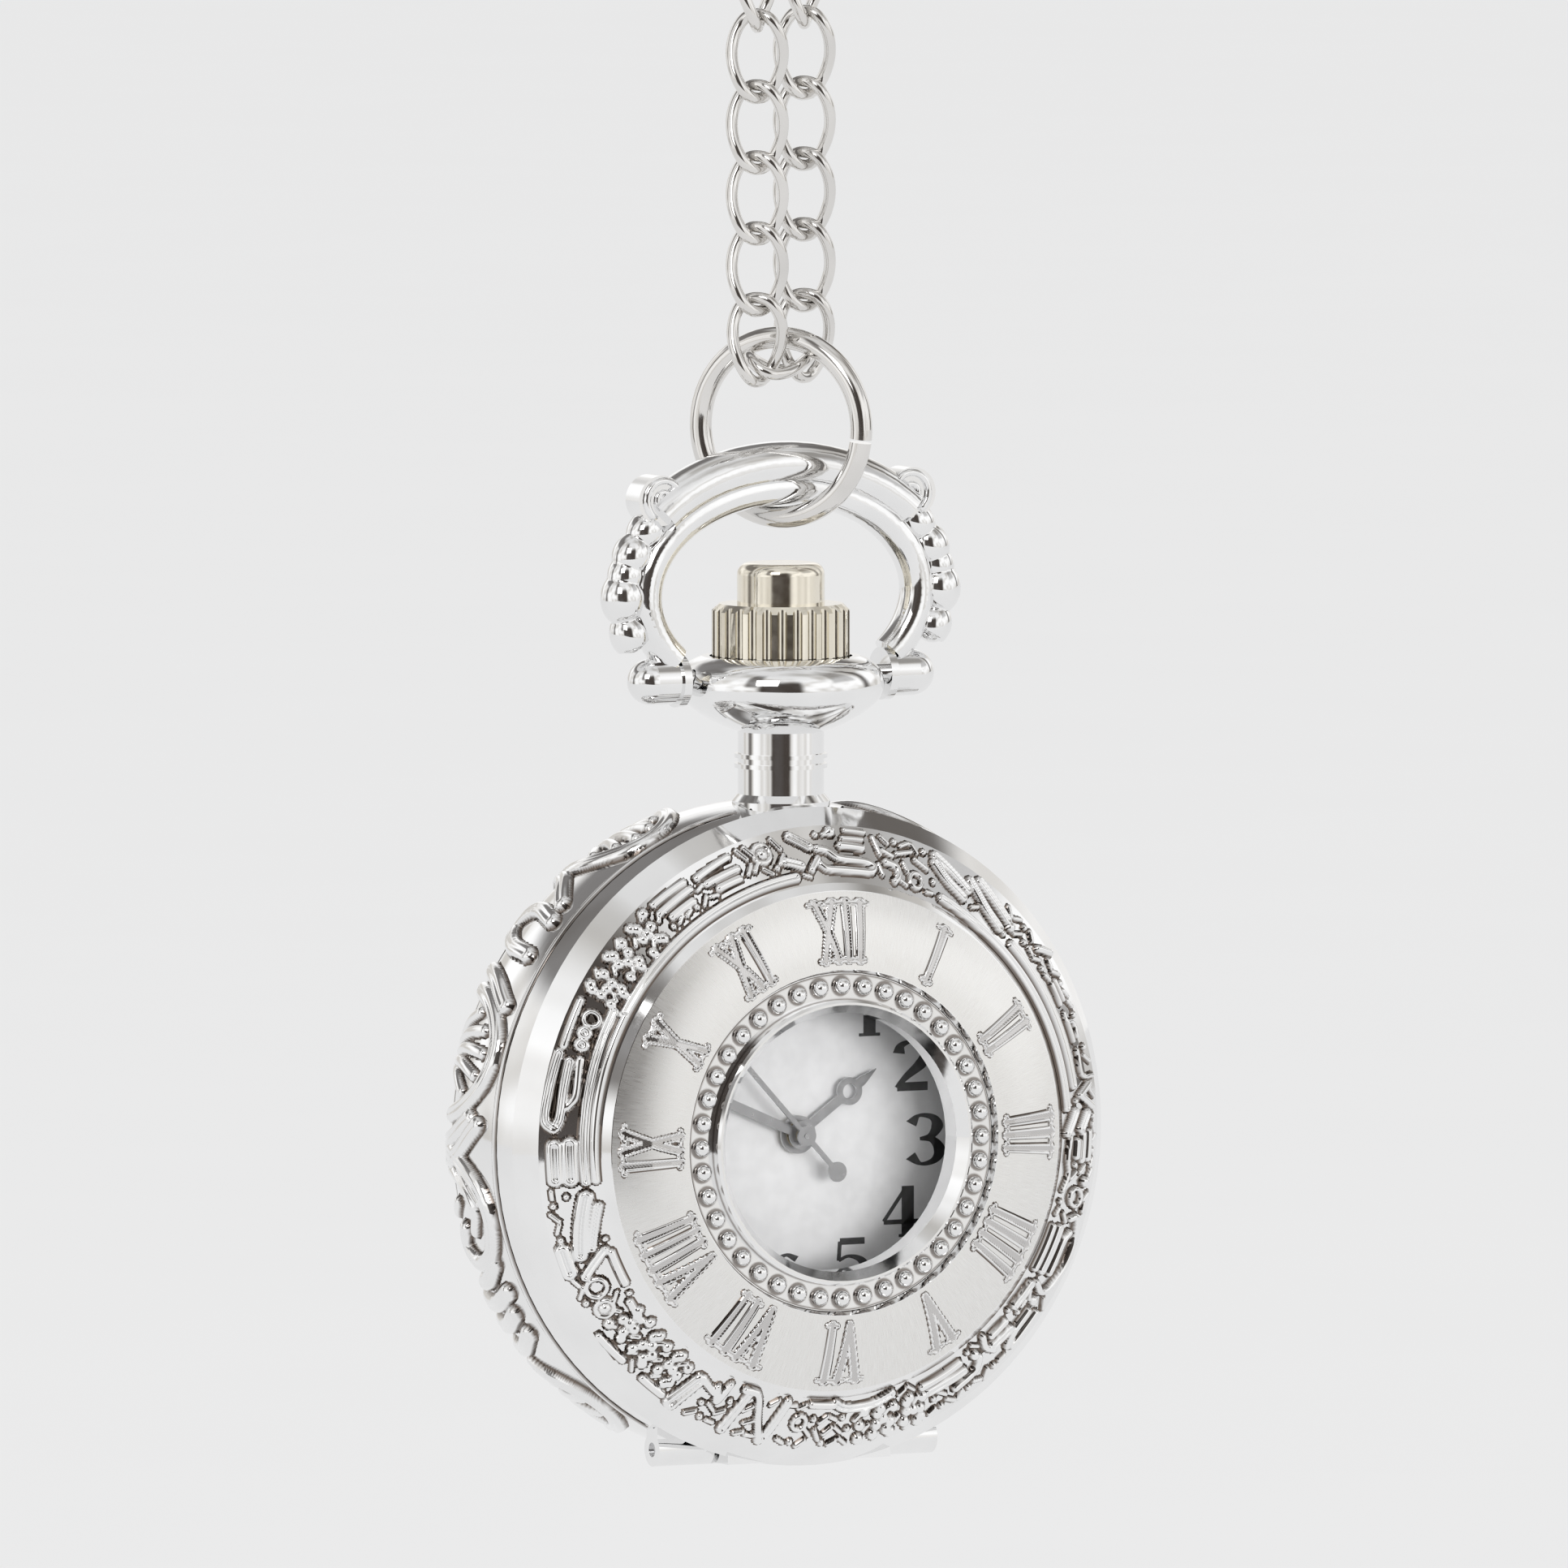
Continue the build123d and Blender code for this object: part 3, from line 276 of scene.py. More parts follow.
black_plastic = plastic("black_plastic", (0.04, 0.04, 0.045), 0.5)
white_plastic = plastic("white_plastic", (0.8, 0.8, 0.78), 0.5)

assign(silver, *nodes)
assign(wire_silver, "chain_left_strand", "chain_right_strand", "chain_bottom_link", "chain_top_link")
assign(wire_silver, "end_ring", "jump_ring")
assign(steel, "battery", "battery_clip", "coil_bobbin", "seconds_arbor", "stem", "stem_detent", "hinge_pin")
assign(brass, "hour_wheel", "minute_wheel", "cannon_pinion")
assign(hand_grey, "hour_hand", "minute_hand", "seconds_hand")
assign(black_plastic, "main_plate", "train_bridge")
assign(clear_glass("clear_glass"), "window_glass", "dial_crystal")
assign(nickel, "crown")
assign(lid_metal("lid_plate"), "lid")
assign(copper, "coil")
assign(board_green, "circuit_board")
assign(white_plastic, "movement_holder")
assign(enamel, "dial")


# Relief: strokes drawn over an unrolled surface, and a mesh that rises where the strokes are

SUNK = -0.12  # how deep the relief's edges stand in the metal, in millimetres
RIM_WIDTH = 0.07  # the rim along each stroke that carries the painted shade
RIM_HEIGHT = 0.012
# Painted shade: full from EDGE_DARK, a little inside a stroke's edge, outwards, and fading out over
# EDGE_SOFT towards the stroke's middle
EDGE_DARK = -0.01
EDGE_SOFT = 0.04
SLIT_WIDTH = 0.25  # of a slit along a stroke's middle, as a share of the stroke's half width
FAR_AWAY = 1.0


def smooth_line(points, steps=5):
    """More points along a smooth curve through the given ones."""
    points = np.array(points, float)
    if len(points) < 3:
        return points
    ends = np.vstack([2 * points[0] - points[1], points, 2 * points[-1] - points[-2]])
    line = []
    for a, b, c, d in zip(ends, ends[1:], ends[2:], ends[3:]):
        for t in np.arange(steps) / steps:
            second = (2 * a - 5 * b + 4 * c - d) * t**2
            third = (3 * b - a - 3 * c + d) * t**3
            line.append(0.5 * (2 * b + (c - a) * t + second + third))
    line.append(points[-1])
    return np.array(line)


def distance_to_line(u, v, line):
    """How far each point (u, v) is from a line of points, or from its single point."""
    if len(line) == 1:
        return np.hypot(u - line[0][0], v - line[0][1])
    nearest = np.full(u.shape, np.inf)
    for (au, av), (bu, bv) in zip(line, line[1:]):
        du, dv = bu - au, bv - av
        length = du * du + dv * dv
        along = np.clip(((u - au) * du + (v - av) * dv) / max(length, 1e-9), 0, 1)
        nearest = np.minimum(nearest, np.hypot(u - au - along * du, v - av - along * dv))
    return nearest


def places_near(u, v, line, reach, turn_length):
    """The part of the grid near a line, and the distances there, also where the ring closes."""
    for shift in (-turn_length, 0, turn_length):
        moved = line + [shift, 0]
        columns = np.nonzero((u > moved[:, 0].min() - reach) & (u < moved[:, 0].max() + reach))[0]
        rows = np.nonzero((v > moved[:, 1].min() - reach) & (v < moved[:, 1].max() + reach))[0]
        if len(columns) and len(rows):
            yield np.ix_(rows, columns), distance_to_line(*np.meshgrid(u[columns], v[rows]), moved)


def raise_strokes(angles, levels, table, radius):
    """Heights over a ring of the surface, and how far each point lies beyond the nearest stroke's edge."""
    reach = math.radians(radius)
    height = np.full((len(levels), len(angles)), SUNK)
    beyond = np.full((len(levels), len(angles)), FAR_AWAY)
    for (half_width, rise, slit), points in table:
        line = smooth_line([(angle * reach, level) for angle, level in points])
        near = places_near(angles * reach, levels, line, half_width + RIM_WIDTH, 360 * reach)
        for window, distance in near:
            far = distance / half_width
            dome = np.sqrt(np.clip(1 - far**2, 0, 1))
            dome *= 1 - slit * np.exp(-((far / SLIT_WIDTH) ** 2))
            height[window] = np.maximum(height[window], np.where(far < 1, rise * dome, SUNK))
            beyond[window] = np.minimum(beyond[window], distance - half_width)
    # A low rim round each stroke carries the painted shade
    height = np.where((height == SUNK) & (beyond < RIM_WIDTH), RIM_HEIGHT, height)
    return height, beyond


def edge_tone(beyond):
    """0 where shade is painted along a stroke's edge and round it, 1 on the stroke itself."""
    return np.clip((EDGE_DARK - beyond) / EDGE_SOFT, 0, 1)


def add_piece(name, mesh, material, body):
    piece = bpy.data.objects.new(name, mesh)
    bpy.context.scene.collection.objects.link(piece)
    piece.data.materials.append(material)
    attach(piece, body)
    return piece


def add_shape(name, shape, material, body, smooth=True):
    """A piece from a finished bmesh."""
    mesh = bpy.data.meshes.new(name)
    shape.to_mesh(mesh)
    shape.free()
    if smooth:
        mesh.shade_smooth()
    return add_piece(name, mesh, material, body)


def relief_mesh(name, places, raised, tone, body):
    """Keeps the cells of a grid, closed round its columns, that touch a raised point."""
    rows, columns = raised.shape
    here = np.arange(rows * columns).reshape(rows, columns)
    beside = np.roll(here, -1, axis=1)
    cells = np.stack([here[:-1], beside[:-1], beside[1:], here[1:]], axis=-1).reshape(-1, 4)
    cells = cells[raised.ravel()[cells].any(axis=1)]
    used, cells = np.unique(cells, return_inverse=True)
    mesh = bpy.data.meshes.new(name)
    mesh.from_pydata((places.reshape(-1, 3)[used] * MM).tolist(), [], cells.reshape(-1, 4).tolist())
    mesh.shade_smooth()
    # The tone attribute carries painted shade: 0 is dark brown, 1 is the plain metal
    tones = mesh.attributes.new("tone", "FLOAT", "POINT")
    tones.data.foreach_set("value", tone.ravel()[used].astype(np.float32))
    return add_piece(name, mesh, relief_silver_painted_shade, body)


def round_the_case(angle, radius, depth):
    """Points in the frame from clockwise angles in degrees, radii and depths in millimetres."""
    turn = np.radians(angle)
    return np.stack([radius * np.sin(turn), -depth + 0 * radius, CASE_Z + radius * np.cos(turn)], axis=-1)


def ring_of(angle, level, size, reach, count=10):
    """The points of a small closed ring, its angle stretched by the reach in millimetres per degree."""
    turns = np.linspace(0, 2 * math.pi, count)
    return [(angle + size * math.cos(turn) / reach, level + size * math.sin(turn)) for turn in turns]


# Lid ring: bars, leaves, curls and dots between the rim and the step. A kind of stroke is its half width,
# its height and how deep its slit is, and a row of the table is a kind and points of (angle, radius).

RING_RADIUS = 11.65
RING_REACH = math.radians(RING_RADIUS)
BAR, THIN, LEAF, DOT = (0.18, 0.27, 0.0), (0.12, 0.2, 0.0), (0.22, 0.3, 0.5), (0.25, 0.3, 0.0)
LONG, OVAL = (0.22, 0.25, 0.65), (0.34, 0.34, 0.6)
SEED, SPRIG = (0.15, 0.2, 0.0), (0.11, 0.17, 0.0)

ring_table = [
    # twelve to two o'clock
    (
        BAR,
        [(-2, 12.1), (0, 12), (2.6, 11.68), (8.6, 11.6), (10.3, 11.4), (8.6, 11.2), (0, 11.25), (-2, 11.45)],
    ),
    (BAR, [(3.2, 12.2), (8, 12.15)]),
    (THIN, [(4, 12.5), (8.2, 12.5)]),
    (THIN, [(4.7, 12.82), (8.8, 12.8)]),
    (DOT, [(1.6, 12.75)]),
    (BAR, [(13.2, 11.75), (15.6, 11.65), (16.2, 11.3), (15.4, 11.05)]),
    (THIN, ring_of(20.6, 11.35, 0.3, RING_REACH)),
    (THIN, [(10.6, 12.65), (12, 12.0)]),
    (THIN, [(12.6, 12.2), (14.8, 12.05)]),
    (THIN, [(15.8, 12.2), (19, 12.45)]),
    (THIN, [(20, 12.2), (23, 12.0)]),
    (THIN, [(11.5, 11.6), (12.4, 11.2)]),
    (THIN, [(17.4, 11.9), (18.4, 11.6)]),
    (LEAF, [(24.4, 12.7), (28, 12.45), (33.2, 12.05)]),
    (LEAF, [(24.6, 12.4), (28, 11.95), (32.6, 11.65)]),
    (LEAF, [(35.2, 12.75), (40, 12.45), (44.2, 12.2)]),
    (LEAF, [(33.2, 12.5), (38.5, 11.9), (43.2, 11.62)]),
    (LONG, [(27.4, 11.12), (40, 10.98), (60, 10.98), (85.3, 10.98)]),
    (LONG, [(47.6, 11.55), (60, 11.55), (81, 11.55)]),
    (BAR, [(53.2, 12.55), (55.6, 12.95)]),
    (DOT, [(45.4, 12.1)]),
    # two to four o'clock
    (THIN, [(60.2, 12.42), (64.4, 12.4)]),
    (THIN, [(60.2, 12.18), (64.7, 12.14)]),
    (THIN, [(68.6, 12.18), (69.4, 12.48), (72.2, 12.44)]),
    (THIN, [(68.6, 12.15), (72.6, 12.15)]),
    (THIN, [(74.6, 12.2), (79.6, 12.2), (80.4, 12.85)]),
    (BAR, [(81.8, 12.5), (83.4, 11.9)]),
    (BAR, [(86.0, 12.6), (83.4, 11.9)]),
    (LEAF, [(87.2, 12.25), (90.2, 11.85)]),
    (LEAF, [(86.4, 11.5), (90.8, 10.95)]),
    (BAR, [(91, 12.35), (96, 12.35)]),
    (BAR, [(91.4, 11.98), (96.4, 11.98)]),
    (BAR, [(92.6, 11.62), (95.8, 11.62)]),
    (THIN, [(91.7, 11.2), (96.4, 11.1), (99.6, 11.25), (103.3, 11.05)]),
    (THIN, ring_of(104.0, 12.0, 0.36, RING_REACH)),
    (DOT, [(100.6, 12.4)]),
    (
        BAR,
        [(108.4, 12), (107.8, 12.4), (112, 12.68), (117, 12.72), (122, 12.45), (124, 12.1), (123.2, 11.6)],
    ),
    (BAR, [(111, 12.2), (113.4, 12.0), (120, 12.0)]),
    (LEAF, [(111, 11.5), (120.6, 11.5)]),
    (BAR, [(111.2, 11.05), (121.2, 11.05)]),
    # four to six o'clock
    (BAR, [(127.7, 12.55), (135.5, 12.6)]),
    (BAR, [(128.6, 12.1), (133.6, 12.15), (136.4, 12.4)]),
    (DOT, [(126.4, 12.0)]),
    (LEAF, [(124.3, 11.3), (130.3, 11.2)]),
    (LEAF, [(134, 11.85), (139.2, 11.75)]),
    (BAR, [(134.0, 11.35), (138.5, 11.3)]),
    (BAR, [(139.4, 11.95), (140.8, 11.5), (140.4, 11.0)]),
    (BAR, [(142.9, 11.7), (144.8, 12.1), (150.2, 12.25)]),
    (DOT, [(143.8, 11.45)]),
    (LEAF, [(147.4, 11.72), (156.6, 11.66)]),
    (BAR, [(147.8, 11.25), (157.9, 11.3)]),
    (LONG, [(165.4, 10.98), (170.6, 11.22), (176.6, 11.18), (179.2, 10.95)]),
    # six to eight o'clock
    (THIN, ring_of(186.4, 11.8, 0.3, RING_REACH)),
    (BAR, [(179.6, 11.0), (185, 10.98)]),
    (THIN, [(181.2, 12.5), (182.4, 12.1)]),
    (THIN, [(183.4, 12.3), (185.0, 12.0)]),
    (LONG, [(190.7, 11.0), (192.4, 12.4), (193.4, 12.75)]),
    (BAR, [(193.4, 12.75), (195.6, 11.9), (198.2, 10.98), (201.7, 10.95)]),
    (LONG, [(200.2, 11.05), (201.5, 12.75)]),
    (BAR, [(205.3, 11.0), (205.8, 11.8), (207.4, 11.3)]),
    (BAR, [(207.6, 11.55), (211.4, 11.3)]),
    (OVAL, [(212.0, 11.45), (213.4, 12.75)]),
    (BAR, [(215.8, 12.7), (221, 12.7)]),
    (BAR, [(231.0, 11.3), (236.0, 11.25)]),
    (BAR, [(226.4, 12.75), (233, 12.9)]),
    (THIN, ring_of(237.2, 12.15, 0.34, RING_REACH)),
    (DOT, [(237.2, 12.15)]),
    # eight to ten o'clock
    (THIN, ring_of(241.7, 12.05, 0.38, RING_REACH)),
    (OVAL, [(246.6, 12.72), (250.8, 12.72)]),
    (LEAF, [(244.7, 12.25), (248.6, 11.25)]),
    (OVAL, [(249.2, 12.12), (255, 11.8), (260.4, 11.45)]),
    (LEAF, [(249.8, 11.65), (258.2, 11.05)]),
    (BAR, [(240, 11.05), (247.7, 11.05)]),
    (OVAL, [(264.6, 12.45), (270.8, 12.45)]),
    (OVAL, [(264.4, 11.9), (271.4, 11.9)]),
    (LONG, [(263.6, 11.36), (283, 11.42), (300, 11.5)]),
    (BAR, [(263.6, 11.0), (300, 11.06)]),
    (LEAF, [(274.2, 12.5), (275.8, 12.85), (281, 12.85), (288.4, 12.8)]),
    (LEAF, [(274.4, 12.45), (277.4, 12.3), (287.4, 12.35)]),
    (BAR, [(278.6, 12.1), (281.4, 11.85), (288.4, 12.0)]),
    (THIN, ring_of(296.6, 12.1, 0.3, RING_REACH)),
    (OVAL, [(291.2, 12.1)]),
    (OVAL, [(293.6, 12.15)]),
    (BAR, [(290, 12.7), (299, 12.75)]),
    # ten to twelve o'clock
    (LONG, [(300, 11.1), (320, 11.1), (340, 11.1), (351.6, 11.1)]),
    (BAR, [(322, 12.7), (329.4, 12.65)]),
    (BAR, [(321.6, 12.3), (329.6, 12.3)]),
    (BAR, [(323, 11.9), (328.6, 11.88)]),
    (BAR, [(332, 12.5), (339.6, 12.65)]),
    (BAR, [(333.0, 12.12), (340.2, 12.1)]),
    (BAR, [(334.6, 11.75), (339.6, 11.72)]),
    (THIN, ring_of(346.3, 12.3, 0.36, RING_REACH)),
    (DOT, [(346.3, 12.3)]),
    (LEAF, [(353.0, 12.7), (356.4, 12.2)]),
    (LEAF, [(350.6, 11.75), (353.6, 11.5)]),
    (BAR, [(355.6, 11.3), (357.6, 11.7)]),
]

# Three patches of scattered dots, as (first angle, last angle, middle radius)
DOT_PATCHES = ((158, 172, 12.1), (215.6, 235, 11.7), (301, 320, 12.1))
DOT_STEP = 2.3
DOT_LIFTS = (-0.5, 0.02, 0.5)
DOT_SWAY_ROUND, DOT_SWAY_ACROSS = 0.9, 0.12
for first, last, middle_radius in DOT_PATCHES:
    for step, angle in enumerate(np.arange(first, last, DOT_STEP)):
        for row, lift in enumerate(DOT_LIFTS):
            level = middle_radius + lift
            dot_angle = angle + DOT_SWAY_ROUND * math.sin(2.1 * step + row)
            dot_level = level + DOT_SWAY_ACROSS * math.cos(3.7 * step + row)
            ring_table.append((DOT, [(dot_angle, dot_level)]))
            if (step + row) % 3 == 0:
                ring_table.append((THIN, [(angle + 1.1, level), (angle + 2.1, level + 0.2)]))
for angle in (341.8, 343.4, 349.2):
    ring_table.append((THIN, [(angle, 12.75), (angle + 1.2, 12.3)]))
    ring_table.append((THIN, [(angle, 11.75), (angle + 1.4, 12.05)]))

# The lid's slope under the ring, and the way its relief stands out from it
SLOPE_RADII = (10.45, 10.75, 12.55, 13.05, 13.75)
SLOPE_DEPTHS = (5.05, 4.75, 3.75, 3.5, 2.5)
LEAN_OUT, LEAN_FORWARD = 0.486, 0.874

# Seeds and sprigs fill the places that are still bare
FILLER_LEVELS = (11.1, 11.62, 12.14, 12.66)
FILLER_STEP = 2.2
FILLER_STAGGER = 0.7
FILLER_COUNT = 164
FREE_ROOM = 0.2
SPRIG_HALF_LENGTH = 0.75

ring_angles = np.arange(0, 360, 0.25)
ring_radii = np.arange(10.72, 13.06, 0.05)
heights, beyond = raise_strokes(ring_angles, ring_radii, ring_table, RING_RADIUS)
for row, level in enumerate(FILLER_LEVELS):
    ring_row = np.abs(ring_radii - level).argmin()
    for step in range(FILLER_COUNT):
        angle = FILLER_STEP * step + FILLER_STAGGER * row
        if beyond[ring_row, np.abs(ring_angles - angle).argmin()] < FREE_ROOM:
            continue
        lean = math.sin(2.3 * step + 1.7 * row)
        start = (angle - SPRIG_HALF_LENGTH, level - 0.12 * lean)
        end = (angle + SPRIG_HALF_LENGTH, level + 0.16 * lean)
        ring_table.append((SEED, [(angle, level)]) if (step + row) % 3 == 0 else (SPRIG, [start, end]))
heights, beyond = raise_strokes(ring_angles, ring_radii, ring_table, RING_RADIUS)
angle_grid, radius_grid = np.meshgrid(ring_angles, ring_radii)
depth_grid = np.interp(radius_grid, SLOPE_RADII, SLOPE_DEPTHS)
places = round_the_case(angle_grid, radius_grid + LEAN_OUT * heights, depth_grid + LEAN_FORWARD * heights)
relief_mesh("lid_ring_relief", places, heights > SUNK, edge_tone(beyond), "lid")


# Roman hour numbers on the satin ring, their tops outwards: a raised outline with a stippled floor

HOUR_RADIUS = 8.8
HOUR_HALF_HEIGHT = 1.2
HOUR_HALF_WIDTH = 0.19
LETTER_WIDTHS = {"I": 0.62, "V": 1.2, "X": 1.15}
LETTER_SPREADS = {"V": 0.38, "X": 0.36}
HOUR_WORDS = ("XII", "I", "II", "III", "IIII", "V", "VI", "VII", "VIII", "IX", "X", "XI")
SERIF_SHARE = 0.97  # how far out a serif lies, as a share of the letter's half height
SERIF_HALF_LENGTH = 0.27
SERIF_HALF_WIDTH = 0.1
OUTLINE_WIDTH = 0.07
OUTLINE_HEIGHT = 0.1
FLOOR_HEIGHT = 0.04
# Painted shade on the letters' sunk floor, darker in the stipple's pits
STIPPLED_FLOOR_SHADE = 0.62
STIPPLE_HEIGHT = 0.02
STIPPLE_SHADE = 8
HOUR_MARGIN = 0.5


def letter_strokes(letter, middle):
    top, foot = HOUR_HALF_HEIGHT, -HOUR_HALF_HEIGHT
    if letter == "I":
        return [[(middle, foot), (middle, top)]]
    spread = LETTER_SPREADS[letter]
    if letter == "V":
        return [[(middle - spread, top), (middle, foot)], [(middle + spread, top), (middle, foot)]]
    return [
        [(middle - spread, top), (middle + spread, foot)],
        [(middle + spread, top), (middle - spread, foot)],
    ]


def hour_strokes():
    reach = math.radians(HOUR_RADIUS)
    for hour, word in enumerate(HOUR_WORDS):
        x = -sum(LETTER_WIDTHS[letter] for letter in word) / 2
        for letter in word:
            x += LETTER_WIDTHS[letter] / 2
            for stroke in letter_strokes(letter, x):
                yield HOUR_HALF_WIDTH, [(30 * hour * reach + u, HOUR_RADIUS + v) for u, v in stroke]
                for u, v in stroke:
                    if letter == "V" and v < 0:
                        continue
                    level = HOUR_RADIUS + v * SERIF_SHARE
                    middle = 30 * hour * reach + u
                    ends = (middle - SERIF_HALF_LENGTH, middle + SERIF_HALF_LENGTH)
                    yield SERIF_HALF_WIDTH, [(end, level) for end in ends]
            x += LETTER_WIDTHS[letter] / 2


hour_angles = np.arange(0, 360, 0.28)
hour_radii = np.arange(7.4, 10.2, 0.043)
hour_reach = math.radians(HOUR_RADIUS)
within = np.full((len(hour_radii), len(hour_angles)), -1.0)  # how far inside a stroke's edge each point lies
for half_width, points in hour_strokes():
    near = places_near(hour_angles * hour_reach, hour_radii, np.array(points), HOUR_MARGIN, 360 * hour_reach)
    for window, distance in near:
        within[window] = np.maximum(within[window], half_width - distance)
grain_round = np.sin(9.1 * np.arange(len(hour_angles)))[None, :]
grain_across = np.sin(8.3 * np.arange(len(hour_radii)))[:, None]
stipple = STIPPLE_HEIGHT * grain_round * grain_across
heights = np.where(within > OUTLINE_WIDTH, FLOOR_HEIGHT + stipple, OUTLINE_HEIGHT)
heights = np.where(within > 0, heights, np.where(within > -RIM_WIDTH, RIM_HEIGHT, SUNK))
# Painted shade: dark round the letters' outlines, partly dark on their floors and darker in the stipple's
# pits
edge = np.where(within > EDGE_DARK, 1.0, 0.0)
tone = np.where(within > OUTLINE_WIDTH, STIPPLED_FLOOR_SHADE + STIPPLE_SHADE * stipple, edge)
angle_grid, radius_grid = np.meshgrid(hour_angles, hour_radii)
SATIN_RADII = (7.2, 8.0, 8.825, 9.6, 10.45)
SATIN_DEPTHS = (5.8, 5.72, 5.545, 5.33, 5.05)
depth_grid = np.interp(radius_grid, SATIN_RADII, SATIN_DEPTHS)
places = round_the_case(angle_grid, radius_grid, depth_grid + heights)
relief_mesh("hour_numbers", places, heights > SUNK, tone, "lid")


# Beads in the channel round the window

BEAD_COUNT = 40
BEAD_RADIUS = 0.34
BEAD_RING_RADIUS = 6.52
BEAD_DEPTH = 5.6
BEAD_SEGMENTS, BEAD_RINGS = 14, 8

bead_angles = np.arange(BEAD_COUNT) * 360 / BEAD_COUNT
beads = bmesh.new()
for centre in round_the_case(bead_angles, np.full(BEAD_COUNT, BEAD_RING_RADIUS), BEAD_DEPTH):
    bmesh.ops.create_uvsphere(
        beads,
        u_segments=BEAD_SEGMENTS,
        v_segments=BEAD_RINGS,
        radius=BEAD_RADIUS * MM,
        matrix=Matrix.Translation(Vector(centre) * MM),
    )
add_shape("window_beads", beads, silver, "lid")

# A sheet over the channel's floor, with painted shade round each bead and along both walls
CHANNEL_DEPTH = 5.462
CHANNEL_RADII = (5.93, 7.02)
CHANNEL_ROWS = 24
CHANNEL_SHADE = 0.08
BEAD_SHADE = 0.06
LOWEST_TONE = 0.2

channel_angles = np.arange(0, 360, 0.4)
channel_radii = np.linspace(*CHANNEL_RADII, CHANNEL_ROWS)
angle_grid, radius_grid = np.meshgrid(channel_angles, channel_radii)
off_bead = (angle_grid + 180 / BEAD_COUNT) % (360 / BEAD_COUNT) - 180 / BEAD_COUNT
from_bead = np.hypot(np.radians(off_bead) * BEAD_RING_RADIUS, radius_grid - BEAD_RING_RADIUS)
from_wall = np.minimum(radius_grid - CHANNEL_RADII[0], CHANNEL_RADII[1] - radius_grid)
bead_shade_tone = np.clip((from_bead - BEAD_RADIUS - BEAD_SHADE) / CHANNEL_SHADE, LOWEST_TONE, 1)
wall_shade_tone = np.clip(from_wall / CHANNEL_SHADE, 0, 1)
places = round_the_case(angle_grid, radius_grid, CHANNEL_DEPTH + 0 * radius_grid)
relief_mesh("bead_channel_shade_sheet", places, radius_grid > 0, bead_shade_tone * wall_shade_tone, "lid")


# Round cords and wires, from sections set along a line of points


def add_section(shape, place, point, aside, across, radius, sides):
    """The vertices of one round section, moved by the place."""
    section = []
    for turn in np.arange(sides) * 2 * math.pi / sides:
        spot = Vector(point) + (math.cos(turn) * aside + math.sin(turn) * across) * float(radius)
        section.append(shape.verts.new((place @ spot) * MM))
    return section


def join_sections(shape, sections):
    for section, following in zip(sections, sections[1:]):
        for step, vertex in enumerate(section):
            beside = (step + 1) % len(section)
            shape.faces.new((vertex, section[beside], following[beside], following[step]))


def cord_mesh(name, paths, body, material, sides=10):
    """Round cords that follow the paths, each a list of points with the cord's radius at each."""
    cords = bmesh.new()
    for points, radii in paths:
        along = np.gradient(points, axis=0)
        aside = Vector(along[0]).normalized().orthogonal().normalized()
        sections = []
        for point, ahead, radius in zip(points, along, radii):
            ahead = Vector(ahead).normalized()
            aside = (aside - ahead * aside.dot(ahead)).normalized()
            across = ahead.cross(aside)
            sections.append(add_section(cords, Matrix(), point, aside, across, radius, sides))
        join_sections(cords, sections)
        cords.faces.new(sections[0][::-1])
        cords.faces.new(sections[-1])
    return add_shape(name, cords, material, body)


# Bow: a curled cord on both faces of each scroll

SCROLL_X = 5.7
SCROLL_RISE = 26.65
SCROLL_RADIUS = 1.05
SCROLL_FACE = 0.63
SCROLL_TURNS = 1.55
CURL_START = math.radians(-60)
CURL_POINTS = 40
CURL_INSET = 0.1
CURL_WINDING = 0.78  # the share of the radius that the curl loses on its way in
CURL_CORD_RADIUS = 0.17
CURL_TAPER = 0.3
CURL_STAND = 0.02

curls = []
share = np.linspace(0, 1, CURL_POINTS)
turn = CURL_START + share * SCROLL_TURNS * 2 * math.pi
reach = (SCROLL_RADIUS - CURL_INSET) * (1 - CURL_WINDING * share)
for side in (-1, 1):
    for face in (-1, 1):
        across = side * (SCROLL_X + reach * np.cos(turn))
        depth = np.full(CURL_POINTS, face * (SCROLL_FACE + CURL_STAND))
        curl = np.stack([across, depth, CASE_Z + SCROLL_RISE + reach * np.sin(turn)], axis=1)
        curls.append((curl, CURL_CORD_RADIUS * (1 - CURL_TAPER * share)))
cord_mesh("bow_curls", curls, "bow", silver)

# A swelling cord runs along each row of beads and joins them
BOW_HALF_WIDTH = 6.85
BOW_ARCH_HEIGHT = 4.9
BOW_TOP_STAND = 1.45  # the outer ridge's crown above the arch's centre line
SWELL_ENDS = (-21, 36)
SWELL_POINTS = 90
SWELL_OFFSET = 0.52
SWELL_ANGLES = (-16.0, 0.0, 9.5, 19.0, 30.0)
SWELL_RADII = (0.82, 0.94, 0.76, 0.82, 0.76)
SWELL_STRETCH = 0.85
WAIST_RADIUS = 0.5
TIP_RADIUS = 0.2
arch_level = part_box("bow")[1].z / MM - BOW_TOP_STAND - BOW_ARCH_HEIGHT

